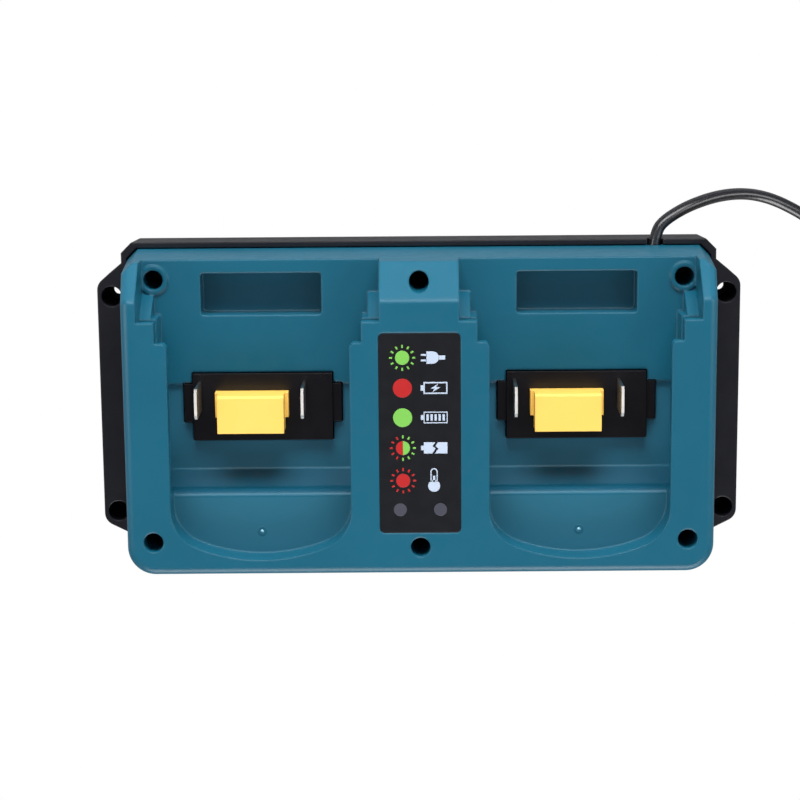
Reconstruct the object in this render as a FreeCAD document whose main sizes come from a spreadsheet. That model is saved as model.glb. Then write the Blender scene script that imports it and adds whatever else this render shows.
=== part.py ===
import FreeCAD, Part
import math
import os

import Sketcher

# Two-bay battery charger: a moulded cover on a tray with mounting ears. Millimetres, +Z up, and the
# mains lead leaves at +Y. The origin is the middle of the underside.

DRIVING_SIZES = {
    # tray and rim
    "body_width": 180.0, "body_depth": 95.0, "rim_level": 18.0, "rear_chamfer": 3.1,
    "front_corner": 10.0, "tray_lean": 0.6, "tray_floor": 2.4, "tray_wall": 3.6, "rim_lip": 1.6,
    "ledge_level": 15.0, "seam_gap": 0.3, "foot_chamfer": 0.6,
    # mounting ears
    "ear_span": 195.0, "ear_rear": 35.0, "ear_front": 38.8, "ear_root_rear": 40.6,
    "ear_root_front": 44.4, "ear_corner": 4.0, "ear_hole_x": 93.2, "ear_hole_rear": 31.2,
    "ear_hole_front": 35.6, "ear_recess": 6.2, "ear_bore": 3.3, "ear_web": 2.0, "ear_wall": 1.4,
    "ear_core_end": 5.6,
    # cover outside
    "top_level": 60.0, "side_lean": 3.2, "front_lean": 0.8, "rear_lean": 0.4,
    "facet_run": 9.8, "facet_drop": 10.0, "top_edge": 2.4, "cover_wall": 2.5, "fuse_in": 0.8,
    # battery bays
    "bay_offset": 46.05, "entry_width": 69.2, "entry_front": 29.3, "step_width": 58.9,
    "step_front": 23.3, "lip_width": 52.1, "lip_thickness": 3.5, "plate_level": 52.0,
    "floor_level": 43.0, "floor_step": 1.0, "floor_crease": 8.6, "floor_skin": 2.5,
    "ramp_foot": 17.0, "ramp_head": 21.5, "ramp_rise": 5.0, "plate_front": 40.3, "plate_bow": 50.0,
    "plate_corner": 12.0, "plate_edge": 2.0, "lip_corner": 1.5, "entry_foot": 2.8,
    "guide_rear": 35.6, "guide_width": 62.4,
    "duct_width": 35.2, "duct_front": 29.0, "duct_rear": 41.3, "duct_depth": 7.0, "duct_corner": 1.0,
    # screw wells
    "well_side": 77.3, "well_rear": 39.5, "well_front": 34.9, "well_mid_rear": 40.0,
    "well_mid_front": 36.8, "well_bore": 5.7, "well_seat": 22.0, "pillar_foot": 19.0,
    "pillar_width": 9.0, "boss_width": 7.0, "collar_width": 8.6, "collar_rise": 0.6,
    "screw_shank": 2.9, "screw_length": 15.0, "screw_head": 5.4, "head_height": 2.0,
    "drive_slot": 1.8, "drive_depth": 1.2, "bore_clearance": 0.1,
    # label and lamps
    "label_width": 23.3, "label_rear": 25.9, "label_front": 32.4, "label_thickness": 0.3,
    "label_corner": 1.5, "label_gap": 0.15, "window_x": 5.8, "window_y": 26.0, "window_bore": 3.8,
    "pipe_flange": 5.2, "flange_height": 0.9, "pipe_tail": 52.2,
    "lamp_board_level": 46.0, "lamp_board_width": 15.0, "lamp_board_rear": 4.0,
    "lamp_board_front": 31.5, "board_thickness": 1.6, "lamp_width": 3.0, "lamp_height": 4.2,
    "lamp_post_rear": 1.0, "lamp_post_front": 19.0, "post_width": 5.0,
    # terminal blocks
    "connector_shift": 3.0, "block_width": 41.0, "block_rear": 11.8, "block_front": 8.1,
    "block_ear_width": 46.3, "block_ear_rear": 8.7, "block_ear_front": 2.7, "block_top": 44.0,
    "block_ear_top": 43.2, "block_gap": 0.3, "block_foot": 34.0, "flange_margin": 2.2,
    "flange_thickness": 2.4, "flange_bite": 2.0, "blade_spread": 15.3, "blade_rear": 9.6, "blade_front": 0.8,
    "blade_thickness": 0.8, "blade_tip": 58.0, "blade_tail": 29.0, "blade_taper": 1.2,
    "blade_fit": 0.05,
    "socket_base_width": 21.4, "socket_base_rear": 6.7, "socket_base_front": 0.65,
    "socket_base_top": 47.2, "socket_foot": 38.0, "socket_width": 19.3, "socket_front": 4.3,
    "socket_top": 53.2, "socket_skin": 1.4, "socket_back": 2.2, "socket_hood_foot": 45.0,
    "contact_thickness": 0.5, "contact_height": 4.2, "contact_pitch": 3.0, "contact_setback": 2.0,
    "signal_y": 2.0, "signal_width": 1.0, "socket_bevel": 0.6,
    # vents in the underside
    "vent_bank_x": 36.0, "vent_pitch": 6.0, "vent_width": 2.5, "vent_length": 24.0,
    # parts on the main board
    "sink_height": 22.0, "sink_plate": 2.5, "sink_fin": 1.2, "sink_fin_depth": 5.0,
    "package_width": 10.0, "package_depth": 4.4, "package_height": 15.0, "package_stand": 4.0,
    "leg_pitch": 2.5, "leg_width": 0.8, "bridge_height": 14.0, "filter_height": 15.0,
    "bulk_width": 16.0, "bulk_height": 22.0, "can_width": 10.0, "can_height": 18.0,
    "fuse_width": 5.2, "chip_height": 1.8, "choke_width": 16.0, "choke_bore": 8.0,
    "choke_depth": 7.0, "choke_wire": 1.2, "choke_window": 4.0, "core_limb": 4.5,
    "core_depth": 12.0, "core_height": 24.0, "winding_gap": 0.3,
    # boards and what they carry
    "board_level": 7.0, "board_left": 67.0, "board_right": 61.0, "board_depth": 62.0,
    "board_post_left": 62.0, "board_post_right": 56.0, "board_post_y": 27.0,
    "small_shank": 2.2, "small_head": 4.2, "small_head_height": 1.6, "small_length": 6.0,
    # mains lead
    "lead_width": 3.6, "notch_x": 71.4, "lead_level": 15.5, "notch_gap": 0.6, "clamp_x": 69.0, "clamp_y": 29.0,
    "clamp_length": 8.0, "clamp_height": 2.6, "clamp_post_x": 5.2, "tail_end": 24.0,
    "wire_width": 1.6,
    "coil_x": 154.2, "coil_y": 66.6, "coil_pitch": 4.06, "coil_outer": 29.3, "coil_turns": 7.917,
    "coil_start_angle": -120.0,
    # plug
    "plug_length": 34.0, "plug_width": 30.0, "plug_neck": 16.0, "plug_height": 13.7,
    "plug_edge": 2.6, "sleeve_length": 12.0, "sleeve_width": 6.6, "pin_width": 4.0,
    "pin_length": 19.0, "pin_spread": 18.6, "pin_cover": 10.0, "pin_root": 8.0,
}

doc = FreeCAD.newDocument("charger")
sheet = doc.addObject("Spreadsheet::Sheet", "Sizes")
for row, (alias, amount) in enumerate(DRIVING_SIZES.items(), start=1):
    sheet.set(f"A{row}", alias)
    sheet.set(f"B{row}", str(amount))
    sheet.setAlias(f"B{row}", alias)
doc.recompute()


class Length:
    """A size in millimetres together with the sheet formula that it comes from."""

    def __init__(self, value, formula):
        self.value = value
        self.formula = formula

    def __add__(self, other):
        other = as_length(other)
        return Length(self.value + other.value, f"({self.formula} + {other.formula})")

    def __sub__(self, other):
        other = as_length(other)
        return Length(self.value - other.value, f"({self.formula} - {other.formula})")

    def __mul__(self, other):
        other = as_length(other)
        return Length(self.value * other.value, f"({self.formula} * {other.formula})")

    def __truediv__(self, other):
        other = as_length(other)
        return Length(self.value / other.value, f"({self.formula} / {other.formula})")

    def __radd__(self, other):
        return as_length(other) + self

    def __rsub__(self, other):
        return as_length(other) - self

    def __rmul__(self, other):
        return as_length(other) * self

    def __neg__(self):
        return Length(-self.value, f"(0 - {self.formula})")


def as_length(amount):
    if isinstance(amount, Length):
        return amount
    return Length(float(amount), f"({float(amount)})" if amount < 0 else f"{float(amount)}")


def root(amount):
    return Length(math.sqrt(amount.value), f"sqrt({amount.formula})")


class Sizes:
    """The driving dimensions, read by their names."""

    def __getattr__(self, name):
        return Length(DRIVING_SIZES[name], f"Sizes.{name}")


size = Sizes()
BOTH = (-1, 1)
BOTH_SIDES = (("left", -1), ("right", 1))
nodes = {}


def bind(thing, quantity, amount):
    thing.setExpression(quantity, as_length(amount).formula)


def keep(node, thing):
    """The finished sub-part, under the name that it is exported with."""
    thing.Label = node
    nodes[node] = thing
    return thing


# Sketched bodies. A loop is a list of corners (x, y) or (x, y, radius): with a radius, the edge from
# that corner to the next is an arc that bulges outward. A Ring is a whole circle.

NORMAL_SIGN = {"XY_Plane": 1, "XZ_Plane": -1, "YZ_Plane": 1}


class Ring:
    def __init__(self, x, y, width):
        self.x, self.y, self.width = as_length(x), as_length(y), as_length(width)


def rectangle(x, y):
    return [(x[0], y[0]), (x[1], y[0]), (x[1], y[1]), (x[0], y[1])]


def rounded_rectangle(x, y, radius):
    return [(x[0] + radius, y[0]), (x[1] - radius, y[0], radius), (x[1], y[0] + radius),
            (x[1], y[1] - radius, radius), (x[1] - radius, y[1]), (x[0] + radius, y[1], radius),
            (x[0], y[1] - radius), (x[0], y[0] + radius, radius)]


def new_body(name):
    return doc.addObject("PartDesign::Body", name)


def arc_between(start, end, radius):
    """The arc from start to end that bulges to the right of the way from one to the other."""
    chord = end - start
    sagitta = radius - math.sqrt(radius ** 2 - (chord.Length / 2) ** 2)
    outward = FreeCAD.Vector(chord.y, -chord.x, 0).normalize()
    return Part.Arc(start, start + chord / 2 + outward * sagitta, end)


def draw_loop(drawing, loop):
    if isinstance(loop, Ring):
        centre = FreeCAD.Vector(loop.x.value, loop.y.value, 0)
        ring = drawing.addGeometry(Part.Circle(centre, FreeCAD.Vector(0, 0, 1), loop.width.value / 2), False)
        pin_point(drawing, ring, 3, loop.x, loop.y)
        rule = drawing.addConstraint(Sketcher.Constraint("Diameter", ring, loop.width.value))
        bind(drawing, f"Constraints[{rule}]", loop.width)
        return
    corners = [tuple(as_length(part) for part in corner) for corner in loop]
    spots = [FreeCAD.Vector(corner[0].value, corner[1].value, 0) for corner in corners]
    edges = []
    for place, corner in enumerate(corners):
        start, end = spots[place], spots[(place + 1) % len(spots)]
        shape = arc_between(start, end, corner[2].value) if len(corner) == 3 else Part.LineSegment(start, end)
        edge = drawing.addGeometry(shape, False)
        kept = drawing.Geometry[edge]
        ends = (1, 2) if (kept.StartPoint - start).Length < (kept.EndPoint - start).Length else (2, 1)
        edges.append((edge, ends))
    for place, (edge, ends) in enumerate(edges):
        following, following_ends = edges[(place + 1) % len(edges)]
        drawing.addConstraint(Sketcher.Constraint("Coincident", edge, ends[1], following, following_ends[0]))
    for corner, (edge, ends) in zip(corners, edges):
        pin_point(drawing, edge, ends[0], corner[0], corner[1])
        if len(corner) == 3:
            rule = drawing.addConstraint(Sketcher.Constraint("Radius", edge, corner[2].value))
            bind(drawing, f"Constraints[{rule}]", corner[2])


def pin_point(drawing, edge, end, x, y):
    for kind, amount, axis in (("DistanceX", x, -2), ("DistanceY", y, -1)):
        if amount.value == 0:
            drawing.addConstraint(Sketcher.Constraint("PointOnObject", edge, end, axis))
        else:
            rule = drawing.addConstraint(Sketcher.Constraint(kind, -1, 1, edge, end, amount.value))
            bind(drawing, f"Constraints[{rule}]", amount)


def sketch(body, name, role, loops, offset):
    """A drawing on one of the body's own planes, moved along that plane's axis by offset."""
    plane = [datum for datum in body.Origin.OriginFeatures if datum.Role == role][0]
    drawing = body.newObject("Sketcher::SketchObject", name)
    drawing.AttachmentSupport = [(plane, "")]
    drawing.MapMode = "FlatFace"
    bind(drawing, "AttachmentOffset.Base.z", NORMAL_SIGN[role] * as_length(offset))
    for loop in loops:
        draw_loop(drawing, loop)
    return drawing


def extrude(body, kind, name, role, loops, start, end):
    """Adds or removes the loops between two places along the plane's axis."""
    start, end = as_length(start), as_length(end)
    volume = body.Tip.Shape.Volume if body.Tip else 0
    drawing = sketch(body, f"{name}_outline", role, loops, start)
    feature = body.newObject(f"PartDesign::{kind}", name)
    feature.Profile = drawing
    forward = (end.value - start.value) * NORMAL_SIGN[role] > 0
    bind(feature, "Length", end - start if end.value > start.value else start - end)
    feature.Reversed = forward if kind == "Pocket" else not forward
    body.Tip = feature
    doc.recompute()
    changed = feature.Shape.Volume - volume
    if (changed < 0) != (kind == "Pocket") or changed == 0:
        raise SystemExit(f"{body.Name}.{name} changed the volume by {changed:.3f}")
    return feature


def add(body, name, role, loops, start, end):
    return extrude(body, "Pad", name, role, loops, start, end)


def remove(body, name, role, loops, start, end):
    return extrude(body, "Pocket", name, role, loops, start, end)


def loft(body, kind, name, sections):
    """Sections are (level, loop) pairs from below upward."""
    drawings = [sketch(body, f"{name}_{place}", "XY_Plane", [loop], level)
                for place, (level, loop) in enumerate(sections)]
    feature = body.newObject(f"PartDesign::{kind}Loft", name)
    feature.Profile = drawings[0]
    feature.Sections = drawings[1:]
    feature.Ruled = True
    body.Tip = feature
    doc.recompute()
    return feature


def near(edge, x=None, y=None, z=None, tolerance=0.6):
    """Whether the middle of the edge's box lies at the places that are given."""
    middle = edge.BoundBox.Center
    wanted = ((middle.x, x), (middle.y, y), (middle.z, z))
    return all(goal is None or abs(place - as_length(goal).value) < tolerance for place, goal in wanted)


def along(edge, axis):
    """Whether the edge is a straight one along an axis, 0 for X to 2 for Z, give or take its lean."""
    if len(edge.Vertexes) < 2:
        return False
    way = edge.Vertexes[-1].Point - edge.Vertexes[0].Point
    return abs((way.x, way.y, way.z)[axis]) > 0.995 * edge.Length


def dress(body, kind, name, wanted, amount):
    """Fillets or chamfers the edges of the body so far that the test picks."""
    base = body.Tip
    picked = [f"Edge{place}" for place, edge in enumerate(base.Shape.Edges, start=1) if wanted(edge)]
    if not picked:
        raise SystemExit(f"{body.Name}.{name} found no edge")
    feature = body.newObject(f"PartDesign::{kind}", name)
    feature.Base = (base, picked)
    bind(feature, "Radius" if kind == "Fillet" else "Size", amount)
    body.Tip = feature
    doc.recompute()
    return feature


# Primitives and booleans for the plainer pieces.

def block(name, x, y, z):
    piece = doc.addObject("Part::Box", name)
    for side, quantity, (low, high) in (("x", "Length", x), ("y", "Width", y), ("z", "Height", z)):
        bind(piece, f"Placement.Base.{side}", low)
        bind(piece, quantity, high - as_length(low))
    return piece


AXIS_TURN = {
    "x": FreeCAD.Rotation(FreeCAD.Vector(0, 1, 0), 90),
    "y": FreeCAD.Rotation(FreeCAD.Vector(1, 0, 0), -90),
    "z": FreeCAD.Rotation(),
}


def rod(name, width, x, y, z, axis="z"):
    """A round bar. The coordinate along its axis is a (low, high) pair."""
    piece = doc.addObject("Part::Cylinder", name)
    piece.Placement = FreeCAD.Placement(FreeCAD.Vector(), AXIS_TURN[axis])
    bind(piece, "Radius", width / 2)
    for side, amount in (("x", x), ("y", y), ("z", z)):
        if side == axis:
            bind(piece, "Height", amount[1] - as_length(amount[0]))
            amount = amount[0]
        bind(piece, f"Placement.Base.{side}", amount)
    return piece


def fused(name, pieces):
    union = doc.addObject("Part::MultiFuse", name)
    union.Shapes = pieces
    return union


def cut(name, base, tools):
    result = doc.addObject("Part::Cut", name)
    result.Base = base
    result.Tool = tools[0] if len(tools) == 1 else fused(f"{name}_tools", tools)
    return result


def group(name, pieces):
    """Separate solids that share one node."""
    gathered = doc.addObject("Part::Compound", name)
    gathered.Links = pieces
    return gathered


def rounded(name, base, wanted, amount):
    """Fillets the edges that the test picks on a primitive or boolean."""
    doc.recompute()
    result = doc.addObject("Part::Fillet", name)
    result.Base = base
    radius = as_length(amount).value
    result.Edges = [(place, radius, radius) for place, edge in enumerate(base.Shape.Edges, start=1)
                    if wanted(edge)]
    return result


# Cover and tray outlines, seen from above: round corners in front, cut corners behind.

cover_side = size.body_width / 2 - size.rim_lip - size.seam_gap
cover_end = size.body_depth / 2 - size.rim_lip - size.seam_gap
cover_foot = size.ledge_level
lip_under = size.top_level - size.lip_thickness
low_floor = size.floor_level - size.floor_step
floor_under = low_floor - size.floor_skin
ceiling = size.top_level - size.cover_wall
ridge = cover_end - size.rear_lean - size.facet_run
facet_slope = size.facet_run / size.facet_drop


def outline(side, front, rear, corner, chamfer):
    return [(corner - side, -front), (side - corner, -front, corner), (side, corner - front),
            (side, rear - chamfer), (side - chamfer, rear), (chamfer - side, rear),
            (-side, rear - chamfer), (-side, corner - front, corner)]


def cover_outline(level, inset, rear=None):
    rise = (level - cover_foot) / (size.top_level - cover_foot)
    corner = size.front_corner - size.rim_lip - size.seam_gap - inset
    if rear is None:
        rear = cover_end - size.rear_lean * rise - inset
    return outline(cover_side - size.side_lean * rise - inset,
                   cover_end - size.front_lean * rise - inset, rear, corner, size.rear_chamfer)


def tray_outline(level, inset):
    lean = size.tray_lean * (size.rim_level - level) / size.rim_level + inset
    return outline(size.body_width / 2 - lean, size.body_depth / 2 - lean, size.body_depth / 2 - lean,
                   size.front_corner - inset, size.rear_chamfer)


# Screw wells: (x, y, level where the pillar ends inside the cover).
WELLS = [(side * size.well_side, size.well_rear) for side in BOTH]
WELLS += [(side * size.well_side, -size.well_front) for side in BOTH]
WELLS += [(as_length(0), size.well_mid_rear), (as_length(0), -size.well_mid_front)]

bay_centres = [side * size.bay_offset for side in BOTH]
half_entry = size.entry_width / 2
half_step = size.step_width / 2
half_lip = size.lip_width / 2
half_guide = size.guide_width / 2
OVER = 2.0
board_top = size.board_level + size.board_thickness
BOARD_POSTS = [(x, side * size.board_post_y) for x in (-size.board_post_left, size.board_post_right)
               for side in BOTH]
VENT_SLOTS = 9
SINK_FINS = 5
CONTACT_PLACES = (-2, -1, 0, 1, 2)


def mirrored_pair(centre, half):
    return (centre - half, centre + half)


def flange_screws(centre):
    """Where the two screws that hold a terminal block go up into the cover."""
    return [(centre + side * (size.block_width / 2 + size.small_head / 2 + size.block_gap),
             size.block_ear_rear + size.small_head / 2 + size.block_gap) for side in BOTH]


def make_top_cover():
    """The moulded cover: drafted walls, a sloping rear edge, and two bays with rails under their lips."""
    cover = new_body("top_cover")
    cavity_rear = cover_end - size.cover_wall
    skin_shift = size.cover_wall * root(1 + facet_slope * facet_slope)
    shoulder = size.top_level - (cavity_rear - ridge + skin_shift) / facet_slope
    ceiling_rear = ridge + size.cover_wall * facet_slope - skin_shift
    loft(cover, "Additive", "outer_form", [
        (cover_foot, cover_outline(cover_foot, 0)),
        (size.top_level, cover_outline(size.top_level, 0, rear=cover_end - size.rear_lean))])
    loft(cover, "Subtractive", "lower_cavity", [
        (cover_foot, cover_outline(cover_foot, size.cover_wall)),
        (shoulder, cover_outline(shoulder, size.cover_wall, rear=cavity_rear))])
    loft(cover, "Subtractive", "upper_cavity", [
        (shoulder, cover_outline(shoulder, size.cover_wall, rear=cavity_rear)),
        (ceiling, cover_outline(ceiling, size.cover_wall, rear=ceiling_rear))])
    well_front = -size.ramp_head - size.cover_wall
    for name, side in BOTH_SIDES:
        inner = size.bay_offset - half_entry - size.cover_wall
        outer = size.bay_offset + half_entry + size.cover_wall
        section = [(well_front, floor_under), (cavity_rear + size.fuse_in, floor_under),
                   (cavity_rear + size.fuse_in, shoulder), (ceiling_rear + size.fuse_in, ceiling + size.fuse_in),
                   (well_front, ceiling + size.fuse_in)]
        add(cover, f"{name}_well", "YZ_Plane", [section], side * inner, side * outer)
    plate_wells = [rectangle(mirrored_pair(centre, half_lip + size.cover_wall),
                             (-cover_end + size.cover_wall, well_front + size.fuse_in))
                   for centre in bay_centres]
    add(cover, "plate_wells", "XY_Plane", plate_wells, size.plate_level - size.cover_wall,
        ceiling + size.fuse_in)
    duct_foot = size.floor_level - size.duct_depth
    half_duct = size.duct_width / 2
    duct_jackets = [rectangle(mirrored_pair(centre, half_duct + size.cover_wall),
                              (size.duct_front - size.cover_wall, cavity_rear + size.fuse_in))
                    for centre in bay_centres]
    add(cover, "duct_jackets", "XY_Plane", duct_jackets, duct_foot - size.cover_wall,
        floor_under + size.fuse_in)
    add(cover, "pillars", "XY_Plane", [Ring(x, y, size.pillar_width) for x, y in WELLS],
        size.pillar_foot, ceiling + size.fuse_in)
    for post in (size.lamp_post_rear, size.lamp_post_front):
        add(cover, f"lamp_post_{int(post.value)}", "XY_Plane", [Ring(0, -post, size.post_width)],
            size.lamp_board_level + size.board_thickness, ceiling + size.fuse_in)
    remove(cover, "flange_pilots", "XY_Plane",
           [Ring(x, y, size.small_shank) for centre in bay_centres for x, y in flange_screws(centre)],
           floor_under - OVER, floor_under + size.flange_bite)
    sky = size.top_level + OVER
    facet = [(ridge - OVER * facet_slope, sky), (cover_end + OVER, sky),
             (cover_end + OVER, size.top_level - (cover_end + OVER - ridge) / facet_slope)]
    remove(cover, "rear_facet", "YZ_Plane", [facet[::-1]], -size.body_width / 2, size.body_width / 2)
    facet_foot = size.top_level - size.facet_drop

    def top_rim(edge):
        box = edge.BoundBox
        flat_top = box.ZMin > size.top_level.value - 0.1
        sloping = box.ZMax > size.top_level.value - 0.1 and box.ZMin > facet_foot.value - 1 and \
            abs(edge.BoundBox.Center.x) > cover_side.value - size.side_lean.value - 1
        return flat_top or sloping

    dress(cover, "Fillet", "rounded_top", top_rim, size.top_edge)
    cut_bays(cover, sky)
    cut_top_details(cover, sky)
    keep("top_cover", cover)


def cut_bays(cover, sky):
    spans = {}
    for key, half in (("entry", half_entry), ("step", half_step), ("lip", half_lip)):
        spans[key] = [mirrored_pair(centre, half) for centre in bay_centres]
    remove(cover, "bay_entries", "XZ_Plane",
           [rectangle(span, (size.floor_level, sky)) for span in spans["entry"]],
           cover_end + OVER, size.entry_front)
    rails = []
    for step, entry, lip in zip(spans["step"], spans["entry"], spans["lip"]):
        rails.append([(step[0], size.floor_level), (step[1], size.floor_level), (step[1], size.plate_level),
                      (entry[1], size.plate_level), (entry[1], lip_under), (lip[1], lip_under),
                      (lip[1], sky), (lip[0], sky), (lip[0], lip_under), (entry[0], lip_under),
                      (entry[0], size.plate_level), (step[0], size.plate_level)])
    remove(cover, "rail_slots", "XZ_Plane", rails, size.entry_front + OVER, -size.ramp_head)
    remove(cover, "lip_steps", "XZ_Plane", [rectangle(span, (lip_under, sky)) for span in spans["step"]],
           size.entry_front + OVER, size.step_front)
    remove(cover, "low_floors", "XY_Plane",
           [rectangle(span, (-size.ramp_head, size.floor_crease)) for span in spans["step"]],
           size.floor_level, low_floor)
    ramp = [(-size.ramp_head - size.fuse_in, low_floor - size.fuse_in), (-size.ramp_foot, low_floor - size.fuse_in),
            (-size.ramp_foot, low_floor), (-size.ramp_head, low_floor + size.ramp_rise),
            (-size.ramp_head - size.fuse_in, low_floor + size.ramp_rise)]
    for (name, side), span in zip(BOTH_SIDES, spans["step"]):
        add(cover, f"{name}_ramp", "YZ_Plane", [ramp], span[0] - size.fuse_in, span[1] + size.fuse_in)
    bow_sagitta = size.plate_bow - root(size.plate_bow * size.plate_bow - half_lip * half_lip)
    bow_start = -size.plate_front + bow_sagitta
    plates = [[(span[0], bow_start, size.plate_bow), (span[1], bow_start), (span[1], OVER - size.ramp_head),
               (span[0], OVER - size.ramp_head)] for span in spans["lip"]]
    remove(cover, "plates", "XY_Plane", plates, sky, size.plate_level)

    def plate_corner(edge):
        return along(edge, 2) and near(edge, y=bow_start, z=(size.top_level + size.plate_level) / 2)

    dress(cover, "Fillet", "plate_corners", plate_corner, size.plate_corner)
    dress(cover, "Fillet", "plate_edges",
          lambda edge: along(edge, 0) and near(edge, y=-size.ramp_head, z=size.plate_level),
          size.plate_edge)
    guide = [(size.entry_front, size.floor_level - size.fuse_in), (size.guide_rear, size.floor_level - size.fuse_in),
             (size.guide_rear, size.floor_level), (size.entry_front, size.plate_level)]
    for (name, side), centre in zip(BOTH_SIDES, bay_centres):
        for edge_name, way in (("inner", -side), ("outer", side)):
            add(cover, f"{name}_{edge_name}_guide", "YZ_Plane", [guide],
                centre + way * half_guide, centre + way * (half_entry + size.fuse_in))
    dress(cover, "Fillet", "lip_corners",
          lambda edge: along(edge, 2) and near(edge, y=size.step_front, z=(lip_under + size.top_level) / 2)
          and any(near(edge, x=place) for span in spans["lip"] for place in span),
          size.lip_corner)


def cut_top_details(cover, sky):
    half_duct = size.duct_width / 2
    ducts = [rounded_rectangle(mirrored_pair(centre, half_duct), (size.duct_front, size.duct_rear),
                               size.duct_corner) for centre in bay_centres]
    remove(cover, "ducts", "XY_Plane", ducts, size.floor_level + OVER, size.floor_level - size.duct_depth)
    gap = size.block_gap
    openings = [block_outline(centre, gap) for centre in bay_centres]
    remove(cover, "block_openings", "XY_Plane", openings, size.floor_level + OVER, floor_under - OVER)
    collars = [Ring(x, y, size.collar_width) for x, y in WELLS[:2]]
    add(cover, "well_collars", "XY_Plane", collars, size.floor_level - size.fuse_in,
        size.floor_level + size.collar_rise)
    remove(cover, "screw_wells", "XY_Plane", [Ring(x, y, size.well_bore) for x, y in WELLS],
           sky, size.well_seat)
    bore = size.screw_shank + 2 * size.bore_clearance
    remove(cover, "screw_holes", "XY_Plane", [Ring(x, y, bore) for x, y in WELLS],
           size.well_seat + OVER, size.pillar_foot - OVER)
    label_half = size.label_width / 2 + size.label_gap
    label_place = rounded_rectangle((-label_half, label_half),
                                    (-size.label_front - size.label_gap, size.label_rear + size.label_gap),
                                    size.label_corner)
    remove(cover, "label_recess", "XY_Plane", [label_place], sky, size.top_level - size.label_thickness)
    windows = [Ring(side * size.window_x, -size.window_y, size.window_bore) for side in BOTH]
    remove(cover, "window_bores", "XY_Plane", windows, sky, ceiling - OVER)
    post_bore = size.small_shank + 2 * size.bore_clearance
    posts = [Ring(0, -post, post_bore) for post in (size.lamp_post_rear, size.lamp_post_front)]
    board_top = size.lamp_board_level + size.board_thickness
    remove(cover, "lamp_post_bores", "XY_Plane", posts, board_top - OVER, board_top + size.small_length)
    cut_lead_notch(cover, cover_foot - OVER, cover_end + OVER, cover_end - size.cover_wall - OVER)


def cut_lead_notch(body, mouth, outside, inside):
    """The opening for the mains lead: round at the lead, and straight from there to its mouth."""
    width = size.lead_width + 2 * size.notch_gap
    remove(body, "lead_hole", "XZ_Plane", [Ring(size.notch_x, size.lead_level, width)], outside, inside)
    levels = (mouth, size.lead_level) if mouth.value < size.lead_level.value else (size.lead_level, mouth)
    remove(body, "lead_slot", "XZ_Plane", [rectangle(mirrored_pair(size.notch_x, width / 2), levels)],
           outside, inside)


def block_outline(centre, gap):
    """The cross-shaped terminal block seen from above."""
    wide, narrow = size.block_ear_width / 2 + gap, size.block_width / 2 + gap
    return [(centre - narrow, -size.block_front - gap), (centre + narrow, -size.block_front - gap),
            (centre + narrow, -size.block_ear_front - gap), (centre + wide, -size.block_ear_front - gap),
            (centre + wide, size.block_ear_rear + gap), (centre + narrow, size.block_ear_rear + gap),
            (centre + narrow, size.block_rear + gap), (centre - narrow, size.block_rear + gap),
            (centre - narrow, size.block_ear_rear + gap), (centre - wide, size.block_ear_rear + gap),
            (centre - wide, -size.block_ear_front - gap), (centre - narrow, -size.block_ear_front - gap)]


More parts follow.
